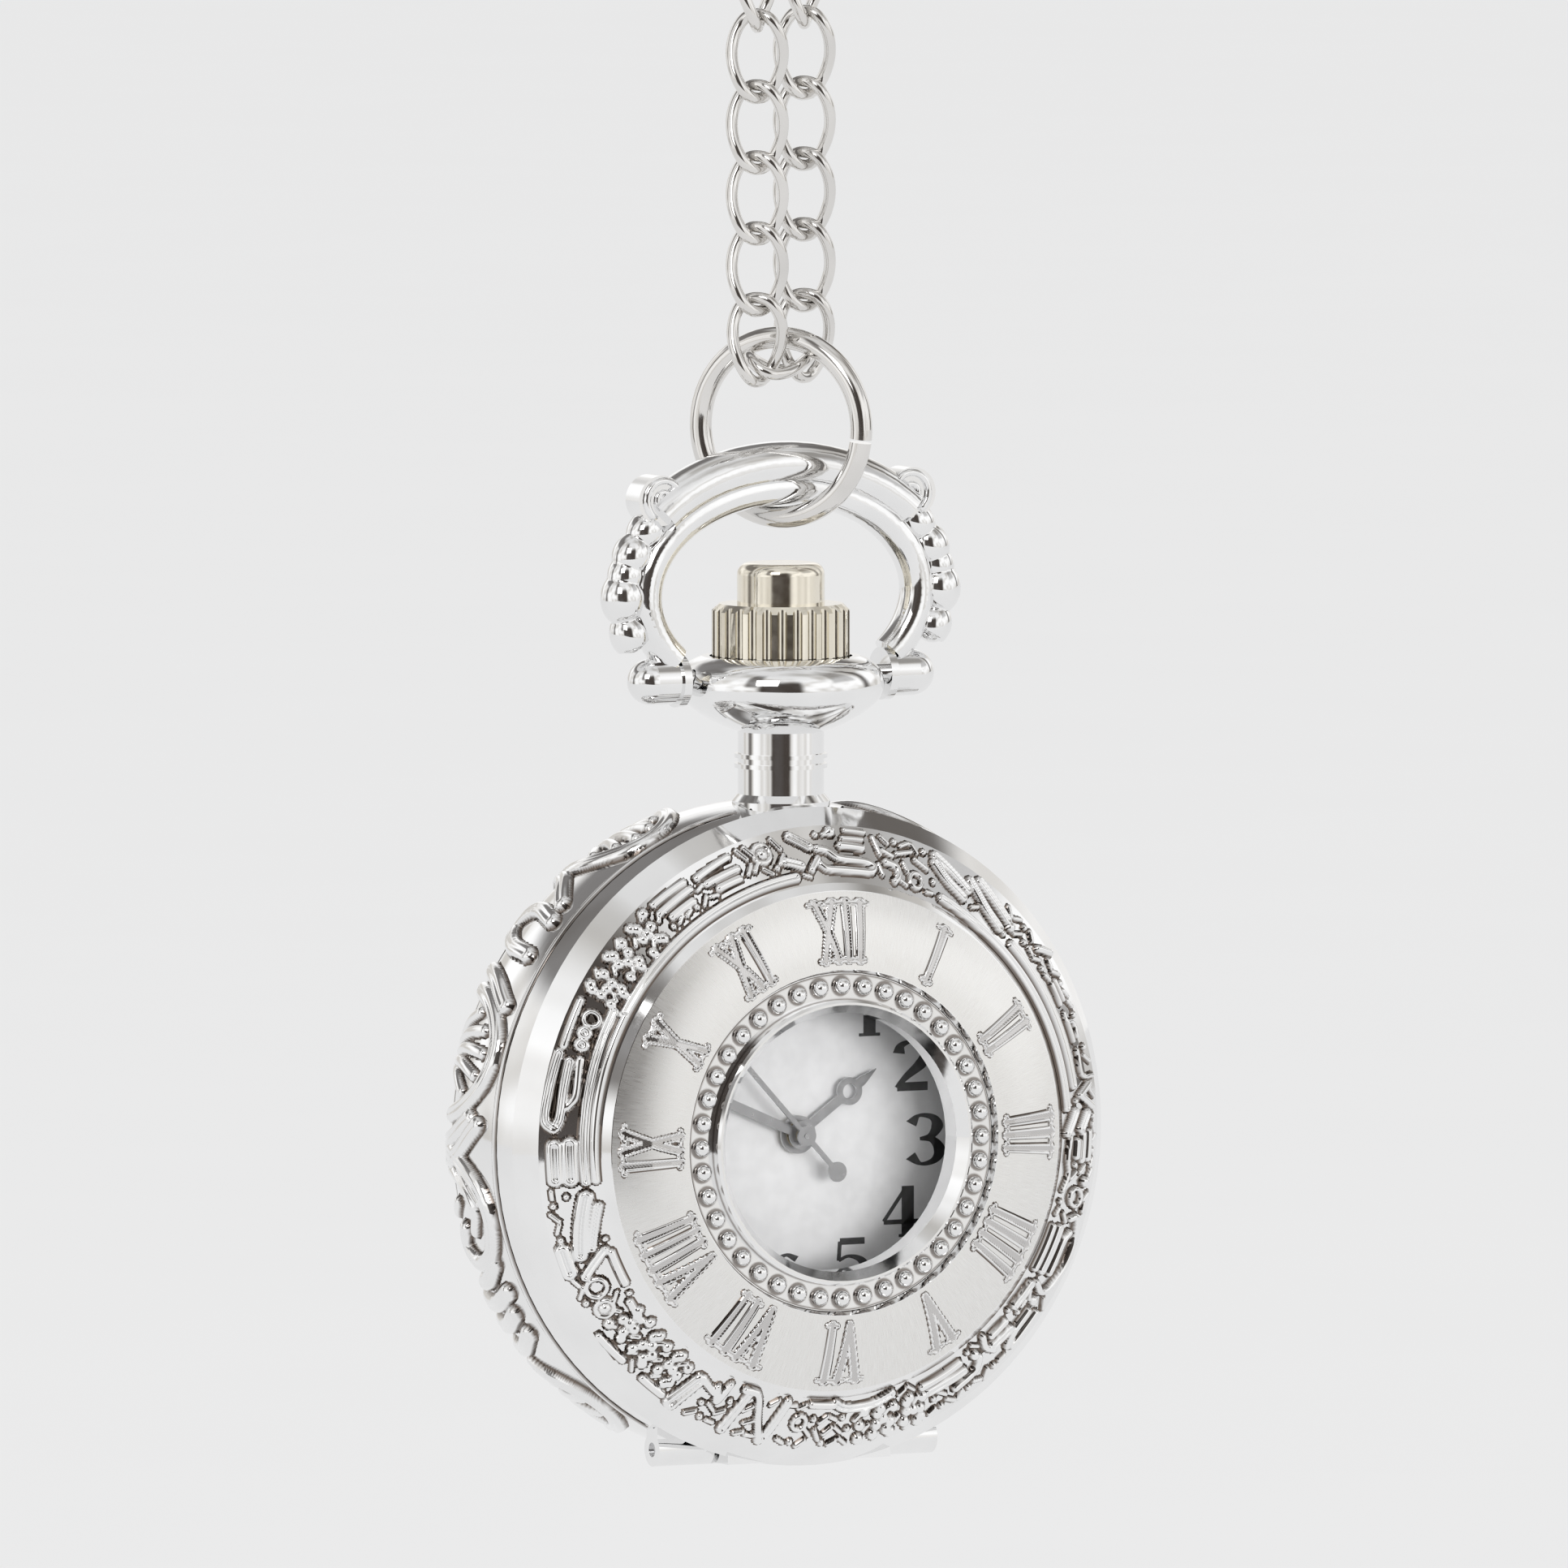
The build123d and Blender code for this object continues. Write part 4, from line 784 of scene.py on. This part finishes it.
turns = np.radians(np.linspace(*SWELL_ENDS, SWELL_POINTS))
out_x, out_z = np.cos(turns) / BOW_HALF_WIDTH, np.sin(turns) / BOW_ARCH_HEIGHT
offset = SWELL_OFFSET / np.hypot(out_x, out_z)
swell_across = BOW_HALF_WIDTH * np.cos(turns) + offset * out_x
swell_up = BOW_ARCH_HEIGHT * np.sin(turns) + offset * out_z
swell_line = np.stack([swell_across, swell_up], axis=1)
radii = np.full(SWELL_POINTS, WAIST_RADIUS)
for angle, radius in zip(SWELL_ANGLES, SWELL_RADII):
    middle = swell_line[np.abs(turns - math.radians(angle)).argmin()]
    off = np.hypot(*(swell_line - middle).T)
    radii = np.maximum(radii, np.sqrt(np.clip(radius**2 - (SWELL_STRETCH * off) ** 2, 0, None)))
radii[0] = radii[-1] = TIP_RADIUS
swells = []
for side in (-1, 1):
    points = np.stack([side * swell_across, np.zeros(SWELL_POINTS), arch_level + swell_up], axis=1)
    swells.append((points, radii))
cord_mesh("bow_swells", swells, "bow", silver, sides=24)


# Chain: every link a smooth twisted oval, in the place of its solid

LINK_HALF_WIDTH = 1.07
LINK_HALF_LENGTH = 1.75
LINK_WIRE_RADIUS = 0.25
LINK_TWIST = 36.0
LINK_FULLNESS = 0.8
LINK_PITCH = 2.95
LINK_POINTS = 72
LINK_SIDES = 16
LINKS = 7
CHAIN_HEADING = 29.0
STRAND_OFFSET = 1.75
LINK_TURN = -48.0
END_TURNS = {0: -LINK_TWIST, LINKS - 2: -6.0, LINKS - 1: LINK_TWIST}

turns = np.linspace(0, 2 * math.pi, LINK_POINTS, endpoint=False)
reach = LINK_HALF_WIDTH * np.sign(np.sin(turns)) * np.abs(np.sin(turns)) ** LINK_FULLNESS
lean = np.radians(LINK_TWIST * np.cos(turns))
link_line = np.stack([reach * np.cos(lean), -reach * np.sin(lean), LINK_HALF_LENGTH * np.cos(turns)], axis=1)


def link_mesh(name, places):
    """Closed round loops, one link at each of the places given as matrices."""
    links = bmesh.new()
    along = np.roll(link_line, -1, axis=0) - np.roll(link_line, 1, axis=0)
    for place in places:
        sections = []
        for point, ahead in zip(link_line, along):
            ahead = Vector(ahead).normalized()
            aside = Vector(point)
            aside = (aside - ahead * aside.dot(ahead)).normalized()
            across = ahead.cross(aside)
            sections.append(add_section(links, place, point, aside, across, LINK_WIRE_RADIUS, LINK_SIDES))
        join_sections(links, sections + sections[:1])
    bmesh.ops.recalc_face_normals(links, faces=links.faces)
    return add_shape(name, links, wire_silver, "chain")


def heading(angle):
    return Vector((math.cos(math.radians(angle)), math.sin(math.radians(angle)), 0))


for side, side_name in ((-1, "left"), (1, "right")):
    strand_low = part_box(f"chain_{side_name}_strand")[0]
    first = strand_low.z / MM + LINK_WIRE_RADIUS + LINK_HALF_LENGTH
    foot = heading(CHAIN_HEADING) * (side * STRAND_OFFSET)
    places = []
    for number in range(LINKS):
        turn = math.radians(CHAIN_HEADING + END_TURNS.get(number, LINK_TURN))
        spot = Vector((foot.x, foot.y, first + number * LINK_PITCH))
        places.append(Matrix.Translation(spot) @ Matrix.Rotation(turn, 4, "Z"))
    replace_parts(link_mesh(f"{side_name}_links", places), f"chain_{side_name}_strand")

for name in ("bottom", "top"):
    turn_low, turn_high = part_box(f"chain_{name}_link")
    spot = (turn_low + turn_high) / 2 / MM
    axes = Matrix((heading(CHAIN_HEADING + 90), Vector((0, 0, 1)), heading(CHAIN_HEADING))).transposed()
    link = link_mesh(f"{name}_turn_link", [Matrix.Translation(spot) @ axes.to_4x4()])
    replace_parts(link, f"chain_{name}_link")


# Hour numbers printed on the dial: each digit is strokes of (points, half widths along it)

DIGIT_RADIUS = 6.1
DIGIT_TURN = 4.5  # the print sits a little turned
DIGIT_HALF_WIDTH = 1.5
DIGIT_HALF_HEIGHT = 1.08
DIGIT_SPREAD = 0.72
PAIR_SQUEEZE = 0.8  # digits that stand in pairs are narrower
PEN_STEPS = 6
INK_THICKNESS = 0.015
THIN_PEN, PEN, BROAD_PEN = 0.06, 0.12, 0.19
CURL = [(0.4, 0.78), (0.05, 0.95), (-0.3, 0.6), (-0.46, -0.1), (-0.38, -0.62), (0, -0.93), (0.38, -0.65)]
CURL += [(0.42, -0.25), (0.1, 0.08), (-0.3, -0.12)]
CURL_PENS = [PEN, THIN_PEN, PEN, BROAD_PEN, BROAD_PEN, THIN_PEN, BROAD_PEN, BROAD_PEN, THIN_PEN, THIN_PEN]

ZERO_LEFT = [(0, 0.94), (-0.38, 0.55), (-0.42, 0), (-0.38, -0.55)]

digit_strokes = {
    "0": [
        (
            [*ZERO_LEFT, *[(-x, -z) for x, z in ZERO_LEFT], (0, 0.94)],
            [THIN_PEN, PEN, BROAD_PEN, PEN, THIN_PEN, PEN, BROAD_PEN, PEN, THIN_PEN],
        ),
    ],
    "1": [
        ([(0.05, 0.98), (0.05, -0.96)], [BROAD_PEN, BROAD_PEN]),
        ([(0, 0.9), (-0.34, 0.62)], [PEN, THIN_PEN]),
        ([(-0.28, -0.94), (0.38, -0.94)], [THIN_PEN, THIN_PEN]),
    ],
    "2": [
        (
            [(-0.4, 0.5), (-0.33, 0.8), (0, 0.94), (0.36, 0.8), (0.46, 0.45)]
            + [(0.28, 0.05), (-0.15, -0.4), (-0.48, -0.82)],
            [BROAD_PEN, PEN, THIN_PEN, PEN, BROAD_PEN, BROAD_PEN, PEN, THIN_PEN],
        ),
        ([(-0.45, -0.8), (0.5, -0.8)], [0.17, 0.17]),
    ],
    "3": [
        (
            [(-0.4, 0.62), (-0.15, 0.93), (0.28, 0.84), (0.42, 0.5), (0.22, 0.12), (-0.12, 0.03)],
            [BROAD_PEN, THIN_PEN, PEN, BROAD_PEN, PEN, THIN_PEN],
        ),
        (
            [(-0.12, 0.03), (0.28, -0.03), (0.5, -0.45), (0.32, -0.83), (-0.1, -0.94), (-0.42, -0.62)],
            [THIN_PEN, PEN, BROAD_PEN, PEN, THIN_PEN, BROAD_PEN],
        ),
    ],
    "4": [
        ([(0.16, 0.96), (-0.55, -0.36)], [THIN_PEN, THIN_PEN]),
        ([(-0.55, -0.4), (0.58, -0.4)], [0.09, 0.09]),
        ([(0.2, 0.98), (0.2, -0.96)], [BROAD_PEN, BROAD_PEN]),
        ([(-0.08, -0.94), (0.46, -0.94)], [THIN_PEN, THIN_PEN]),
    ],
    "5": [
        ([(-0.32, 0.84), (0.45, 0.84)], [0.13, 0.13]),
        ([(-0.32, 0.84), (-0.36, 0.1)], [THIN_PEN, THIN_PEN]),
        (
            [(-0.36, 0.1), (-0.05, 0.26), (0.34, 0.1), (0.48, -0.35)]
            + [(0.26, -0.82), (-0.1, -0.94), (-0.42, -0.64)],
            [THIN_PEN, THIN_PEN, PEN, BROAD_PEN, PEN, THIN_PEN, BROAD_PEN],
        ),
    ],
    "6": [(CURL, CURL_PENS)],
    "7": [
        ([(-0.45, 0.84), (0.5, 0.84)], [0.14, 0.14]),
        ([(0.5, 0.84), (0.1, 0.1), (-0.1, -0.96)], [THIN_PEN, PEN, BROAD_PEN]),
    ],
    "8": [
        (
            [(0, 0.06), (-0.34, 0.35), (-0.3, 0.76), (0, 0.94), (0.3, 0.76), (0.34, 0.35), (0, 0.06)],
            [PEN, PEN, PEN, THIN_PEN, PEN, PEN, PEN],
        ),
        (
            [(0, 0.06), (-0.43, -0.32), (-0.38, -0.78), (0, -0.94), (0.38, -0.78), (0.43, -0.32), (0, 0.06)],
            [PEN, BROAD_PEN, PEN, THIN_PEN, PEN, BROAD_PEN, PEN],
        ),
    ],
    "9": [([(-x, -z) for x, z in CURL], CURL_PENS)],
}


def pen_stroke(points, half_widths):
    """The two sides of one stroke of a pen."""
    line = smooth_line(points, PEN_STEPS)
    widths = np.interp(np.linspace(0, 1, len(line)), np.linspace(0, 1, len(half_widths)), half_widths)
    along = np.gradient(line, axis=0)
    along /= np.linalg.norm(along, axis=1)[:, None]
    aside = np.stack([-along[:, 1], along[:, 0]], axis=1)
    return line + aside * widths[:, None], line - aside * widths[:, None]


digits = bmesh.new()
front, back = -(DIAL_FRONT + INK_THICKNESS), -DIAL_FRONT
for hour in range(1, 13):
    turn = math.radians(30 * hour + DIGIT_TURN)
    word = str(hour)
    half_width = DIGIT_HALF_WIDTH * (1 if len(word) == 1 else PAIR_SQUEEZE)
    for place, digit in enumerate(word):
        shift = DIGIT_SPREAD * (2 * place - len(word) + 1)
        centre = np.array([DIGIT_RADIUS * math.sin(turn) + shift, CASE_Z + DIGIT_RADIUS * math.cos(turn)])
        for points, half_widths in digit_strokes[digit]:
            left, right = pen_stroke(points, half_widths)
            rows = []
            for line, depth in ((left, front), (right, front), (right, back), (left, back)):
                spots = centre + line * [half_width, DIGIT_HALF_HEIGHT]
                rows.append([digits.verts.new(Vector((x, depth, z)) * MM) for x, z in spots])
            for row, beside in zip(rows, rows[1:] + rows[:1]):
                for corners in zip(row, row[1:], beside[1:], beside):
                    digits.faces.new(corners)
            for end in (0, -1):
                digits.faces.new([row[end] for row in rows])
bmesh.ops.recalc_face_normals(digits, faces=digits.faces)
add_shape("dial_numbers", digits, ink, "case", smooth=False)


# Band: a scroll, leaves and fluted shells round the side of the case, in points of (angle, depth)

BAND_RADIUS = 13.7
SCROLL, FLUTE, RIB = (0.42, 0.4, 0.2), (0.29, 0.3, 0.0), (0.17, 0.2, 0.0)
THREAD = (0.13, 0.1, 0.0)
THREAD_DEPTHS = (0.75, -4.45)

# Shells, as (middle angle, spread, count of flutes)
SHELLS = ((285.5, 11.5, 5), (333.0, 10.5, 5), (217.0, 9.5, 4))
SHELL_FRONT, SHELL_BACK = 0.15, -4.4
SHELL_RIM_TURNS = (0.25, 2.9)
FLUTE_START, FLUTE_RANGE = 0.45, 2.25
FLUTE_TIP, FLUTE_FOOT = 0.78, 0.3
FLUTE_BEND = 0.6

# Leaves, as (foot angle, foot depth, tip angle, tip depth, bend)
LEAVES = (
    (266.0, -4.0, 273.2, -0.4, -1.6),
    (269.5, -4.3, 274.2, -1.1, -1.0),
    (294.4, -0.2, 300.5, -3.2, 0.8),
    (304.0, -0.4, 310.0, -4.3, -1.5),
    (311.2, -0.3, 310.4, -4.2, 2.2),
    (315.0, -0.6, 322.0, -4.2, 1.5),
    (240.0, -4.2, 243.5, -0.4, -1.5),
    (244.6, -2.4, 248.8, -0.6, -0.8),
    (229.5, -4.2, 235.0, -0.6, -1.6),
    (235.0, -4.2, 239.0, -0.8, -1.4),
    (205.5, -0.6, 202.0, -4.0, 1.2),
)

SCROLL_MIDDLE = 257
SCROLL_TABLE = (
    (
        SCROLL,
        [(11, -4.3), (10.5, -2.6), (6, -0.6), (0, 0.1), (-6, -0.5), (-8.5, -1.9), (-6, -3.1), (-2.6, -2.6)],
    ),
    (FLUTE, [(7.5, -4.2), (6.4, -2.4), (1.8, -1.1), (-2.6, -1.5)]),
    (RIB, [(2.5, -0.75), (5.2, -1.5)]),
    (RIB, [(4.0, -1.17), (6.7, -1.95)]),
    (RIB, [(5.5, -1.59), (8.2, -2.4)]),
    (FLUTE, [(2.0, -3.0), (-0.5, -3.9)]),
)


def shell_strokes(middle, spread, count):
    """A fan of flutes under an arched rim, its foot towards the back."""
    rise = SHELL_FRONT - SHELL_BACK
    rim_turns = np.linspace(*SHELL_RIM_TURNS, 9)
    yield SCROLL, [(middle + spread * math.cos(t), SHELL_BACK + rise * math.sin(t)) for t in rim_turns]
    for share in (np.arange(count) + 0.5) / count:
        turn = FLUTE_START + FLUTE_RANGE * share
        tip = (middle + FLUTE_TIP * spread * math.cos(turn), SHELL_BACK + FLUTE_TIP * rise * math.sin(turn))
        foot = (middle + FLUTE_FOOT * spread * math.cos(turn), SHELL_BACK)
        yield FLUTE, [foot, ((foot[0] + tip[0]) / 2 + FLUTE_BEND, (foot[1] + tip[1]) / 2), tip]


left_half = []
for kind, points in SCROLL_TABLE:
    left_half.append((kind, [(SCROLL_MIDDLE + angle, depth) for angle, depth in points]))
for shell in SHELLS:
    left_half += shell_strokes(*shell)
for foot_angle, foot, tip_angle, tip, bend in LEAVES:
    middle = ((foot_angle + tip_angle) / 2 + bend, (foot + tip) / 2)
    left_half.append((SCROLL, [(foot_angle, foot), middle, (tip_angle, tip)]))
right_half = [(kind, [(360 - angle, depth) for angle, depth in points]) for kind, points in left_half]
threads = [(THREAD, [(angle, depth) for angle in range(0, 361, 2)]) for depth in THREAD_DEPTHS]
band_table = left_half + right_half + threads

# The band's own profile, read from its mesh away from the hinge and the neck
PROFILE_LOWEST_RADIUS = 12.7
PROFILE_FROM_MIDDLE = 8
PROFILE_FROM_FOOT = 9
band_points = np.array([vertex.co for vertex in nodes["case_band"].data.vertices]) / MM
vertex_radii = np.hypot(band_points[:, 0], band_points[:, 2] - CASE_Z)
outer = vertex_radii > PROFILE_LOWEST_RADIUS
outer &= np.abs(band_points[:, 0]) > PROFILE_FROM_MIDDLE
outer &= band_points[:, 2] > CASE_Z - PROFILE_FROM_FOOT
profile_depths, where = np.unique(np.round(-band_points[outer, 1], 2), return_inverse=True)
profile_radii = [vertex_radii[outer][where == place].max() for place in range(len(profile_depths))]

HINGE_ROOM = 29
NECK_ROOM = 10.5
band_angles = np.arange(0, 360, 0.25)
band_depths = np.arange(-4.65, 0.96, 0.055)
heights, beyond = raise_strokes(band_angles, band_depths, band_table, BAND_RADIUS)
angle_grid, depth_grid = np.meshgrid(band_angles, band_depths)
radius_grid = np.interp(depth_grid, profile_depths, profile_radii)
from_hinge = np.abs(angle_grid - 180)
from_neck = np.minimum(angle_grid, 360 - angle_grid)
clear = (from_hinge > HINGE_ROOM) & (from_neck > NECK_ROOM)
places = round_the_case(angle_grid, radius_grid + heights, depth_grid)
relief_mesh("band_relief", places, (heights > SUNK) & clear, edge_tone(beyond), "case")


# Camera

CAMERA_AZIMUTH = math.radians(-27.0)
CAMERA_ELEVATION = math.radians(4.5)
CAMERA_DISTANCE = 1.2
SENSOR_WIDTH = 36.0
VIEW_WIDTH = 65.3 * MM
VIEW_SHIFT = 0.13 * MM
VIEW_RISE = 14.53 * MM
CLIP_START, CLIP_END = 0.05, 20.0

right = Vector((math.cos(CAMERA_AZIMUTH), math.sin(CAMERA_AZIMUTH), 0))
back = Vector(
    (
        math.sin(CAMERA_AZIMUTH) * math.cos(CAMERA_ELEVATION),
        -math.cos(CAMERA_AZIMUTH) * math.cos(CAMERA_ELEVATION),
        math.sin(CAMERA_ELEVATION),
    )
)
target = Vector((0, 0, CASE_Z * MM + VIEW_RISE)) + right * VIEW_SHIFT
camera_data = bpy.data.cameras.new("camera")
camera = bpy.data.objects.new("camera", camera_data)
bpy.context.scene.collection.objects.link(camera)
camera.location = target + back * CAMERA_DISTANCE
camera.rotation_mode = "QUATERNION"
camera.rotation_quaternion = (-back).to_track_quat("-Z", "Y")
camera_data.sensor_width = SENSOR_WIDTH
camera_data.lens = SENSOR_WIDTH * CAMERA_DISTANCE / VIEW_WIDTH
camera_data.clip_start = CLIP_START
camera_data.clip_end = CLIP_END
bpy.context.scene.camera = camera


# Lamps, each as its place and size in metres and its power in watts

KEY_LAMP = ((-0.75, -0.8, 0.6), (0.5, 0.5), 2.0)
DIAL_LAMP = ((0.1, -1.1, 0.0), (0.6, 0.3), 7.0)


def area_lamp(name, place, size, power):
    data = bpy.data.lights.new(name, "AREA")
    data.shape = "RECTANGLE"
    data.size, data.size_y = size
    data.energy = power
    lamp = bpy.data.objects.new(name, data)
    bpy.context.scene.collection.objects.link(lamp)
    lamp.location = place
    aim = Vector((0, 0, CASE_Z * MM)) - Vector(place)
    lamp.rotation_mode = "QUATERNION"
    lamp.rotation_quaternion = aim.to_track_quat("-Z", "Y")
    return lamp


area_lamp("key_light", *KEY_LAMP)
area_lamp("dial_light", *DIAL_LAMP).visible_glossy = False


# World: an even pale background, and light tents with dark gaps between them for the metal to reflect

BACKDROP = 0.85
STUDIO_LIGHT = 0.8
DARK_TONE = (0.035, 0.025, 0.02, 1.0)
SKY_TONES = [(0.4, grey(1.05)), (0.62, grey(1.15)), (0.85, grey(0.8))]
CLOTH_SCALE, CLOTH_DETAIL = 2.2, 1.5
CLOTH_TONES = [(0.38, (0.6, 0.58, 0.55, 1.0)), (0.58, grey(1.0))]
SOFT_EDGE = 9.0

# Dark gaps, as (azimuth, half width, lowest elevation, highest elevation, darkness), in degrees
DARK_GAPS = (
    (-27, 25, -90, 34, 0.95),
    (-60, 9, 8, 60, 0.75),
    (86, 5, -90, 55, 0.85),
    (-118, 6, -90, 50, 0.8),
    (180, 70, 24, 58, 0.8),
    (55, 16, 18, 60, 0.45),
)

world = bpy.data.worlds.new("studio")
bpy.context.scene.world = world
world.use_nodes = True
studio = world.node_tree


def world_math(operation, *values):
    return math_node(studio, operation, *values)


def world_mix(factor, first, second, blend_type="MIX"):
    return mix_colours(studio, factor, first, second, blend_type)


def fade(value, start, end):
    """Falls from 1 to 0 between the two angles in degrees."""
    node = studio.nodes.new("ShaderNodeMapRange")
    node.interpolation_type = "SMOOTHSTEP"
    node.inputs["From Min"].default_value = math.radians(start)
    node.inputs["From Max"].default_value = math.radians(end)
    node.inputs["To Min"].default_value = 1.0
    node.inputs["To Max"].default_value = 0.0
    studio.links.new(value, node.inputs["Value"])
    return node.outputs["Result"]


direction = studio.nodes.new("ShaderNodeSeparateXYZ")
studio.links.new(studio.nodes.new("ShaderNodeTexCoord").outputs["Generated"], direction.inputs["Vector"])
azimuth = world_math("ARCTAN2", direction.outputs["X"], world_math("MULTIPLY", direction.outputs["Y"], -1.0))
elevation = world_math("ARCSINE", direction.outputs["Z"])
depression = world_math("MULTIPLY", elevation, -1.0)
darkness = 0.0
for middle, half_width, lowest, highest, depth in DARK_GAPS:
    turn = world_math("SUBTRACT", azimuth, math.radians(middle))
    off = world_math("ABSOLUTE", world_math("WRAP", turn, math.pi, -math.pi))
    across = fade(off, half_width - SOFT_EDGE / 2, half_width + SOFT_EDGE / 2)
    under = fade(elevation, highest - SOFT_EDGE, highest + SOFT_EDGE)
    over = fade(depression, -lowest - SOFT_EDGE, -lowest)
    gap = world_math("MULTIPLY", world_math("MULTIPLY", across, under), world_math("MULTIPLY", over, depth))
    darkness = world_math("MAXIMUM", darkness, gap)
height = world_math("ADD", world_math("MULTIPLY", elevation, 1 / math.pi), 0.5)
sky = ramp_node(studio, height, SKY_TONES)
uneven = studio.nodes.new("ShaderNodeTexNoise")
uneven.inputs["Scale"].default_value = CLOTH_SCALE
uneven.inputs["Detail"].default_value = CLOTH_DETAIL
cloth = ramp_node(studio, uneven.outputs["Fac"], CLOTH_TONES)
lit_tent = world_mix(1.0, sky, cloth, "MULTIPLY")
reflected = world_mix(darkness, lit_tent, DARK_TONE)
rays = studio.nodes.new("ShaderNodeLightPath")
seen = world_math("MAXIMUM", rays.outputs["Is Camera Ray"], rays.outputs["Is Transmission Ray"])
plain = world_mix(seen, grey(STUDIO_LIGHT), grey(BACKDROP))
glossy = world_math("MULTIPLY", rays.outputs["Is Glossy Ray"], world_math("SUBTRACT", 1.0, seen))
studio.links.new(world_mix(glossy, plain, reflected), studio.nodes["Background"].inputs["Color"])


# Floor: pale paint that the camera and reflections see nearly even, and that still takes a shadow

FLOOR_COLOUR = (0.93, 0.93, 0.935)
FLOOR_GLOW = 0.6
FLOOR_DROP = 0.04
FLOOR_LEFT, FLOOR_FRONT, FLOOR_FAR = -0.5, -0.4, 8.0

paint = plastic("floor_paint", FLOOR_COLOUR, 0.9, scale=40.0, grain=0.0, unevenness=0.01)
paint_tree = paint.node_tree
shader = paint_tree.nodes["Principled BSDF"]
shader.inputs["Specular IOR Level"].default_value = 0.0
rays = paint_tree.nodes.new("ShaderNodeLightPath").outputs
seen = math_node(paint_tree, "MAXIMUM", rays["Is Camera Ray"], rays["Is Glossy Ray"])
seen = math_node(paint_tree, "MAXIMUM", seen, rays["Is Transmission Ray"])
glow = paint_tree.nodes.new("ShaderNodeEmission")
glow.inputs["Color"].default_value = grey(BACKDROP)
mix = paint_tree.nodes.new("ShaderNodeMixShader")
paint_tree.links.new(math_node(paint_tree, "MULTIPLY", seen, FLOOR_GLOW), mix.inputs["Fac"])
paint_tree.links.new(shader.outputs["BSDF"], mix.inputs[1])
paint_tree.links.new(glow.outputs["Emission"], mix.inputs[2])
paint_tree.links.new(mix.outputs["Shader"], paint_tree.nodes["Material Output"].inputs["Surface"])

floor_z = cad_box[0].z - FLOOR_DROP
corners = [
    (FLOOR_LEFT, FLOOR_FRONT, floor_z),
    (FLOOR_FAR, FLOOR_FRONT, floor_z),
    (FLOOR_FAR, FLOOR_FAR, floor_z),
    (FLOOR_LEFT, FLOOR_FAR, floor_z),
]
floor_mesh = bpy.data.meshes.new("floor")
floor_mesh.from_pydata(corners, [], [(0, 1, 2, 3)])
floor = bpy.data.objects.new("floor", floor_mesh)
bpy.context.scene.collection.objects.link(floor)
floor.data.materials.append(paint)

bpy.context.scene.view_settings.view_transform = "Standard"
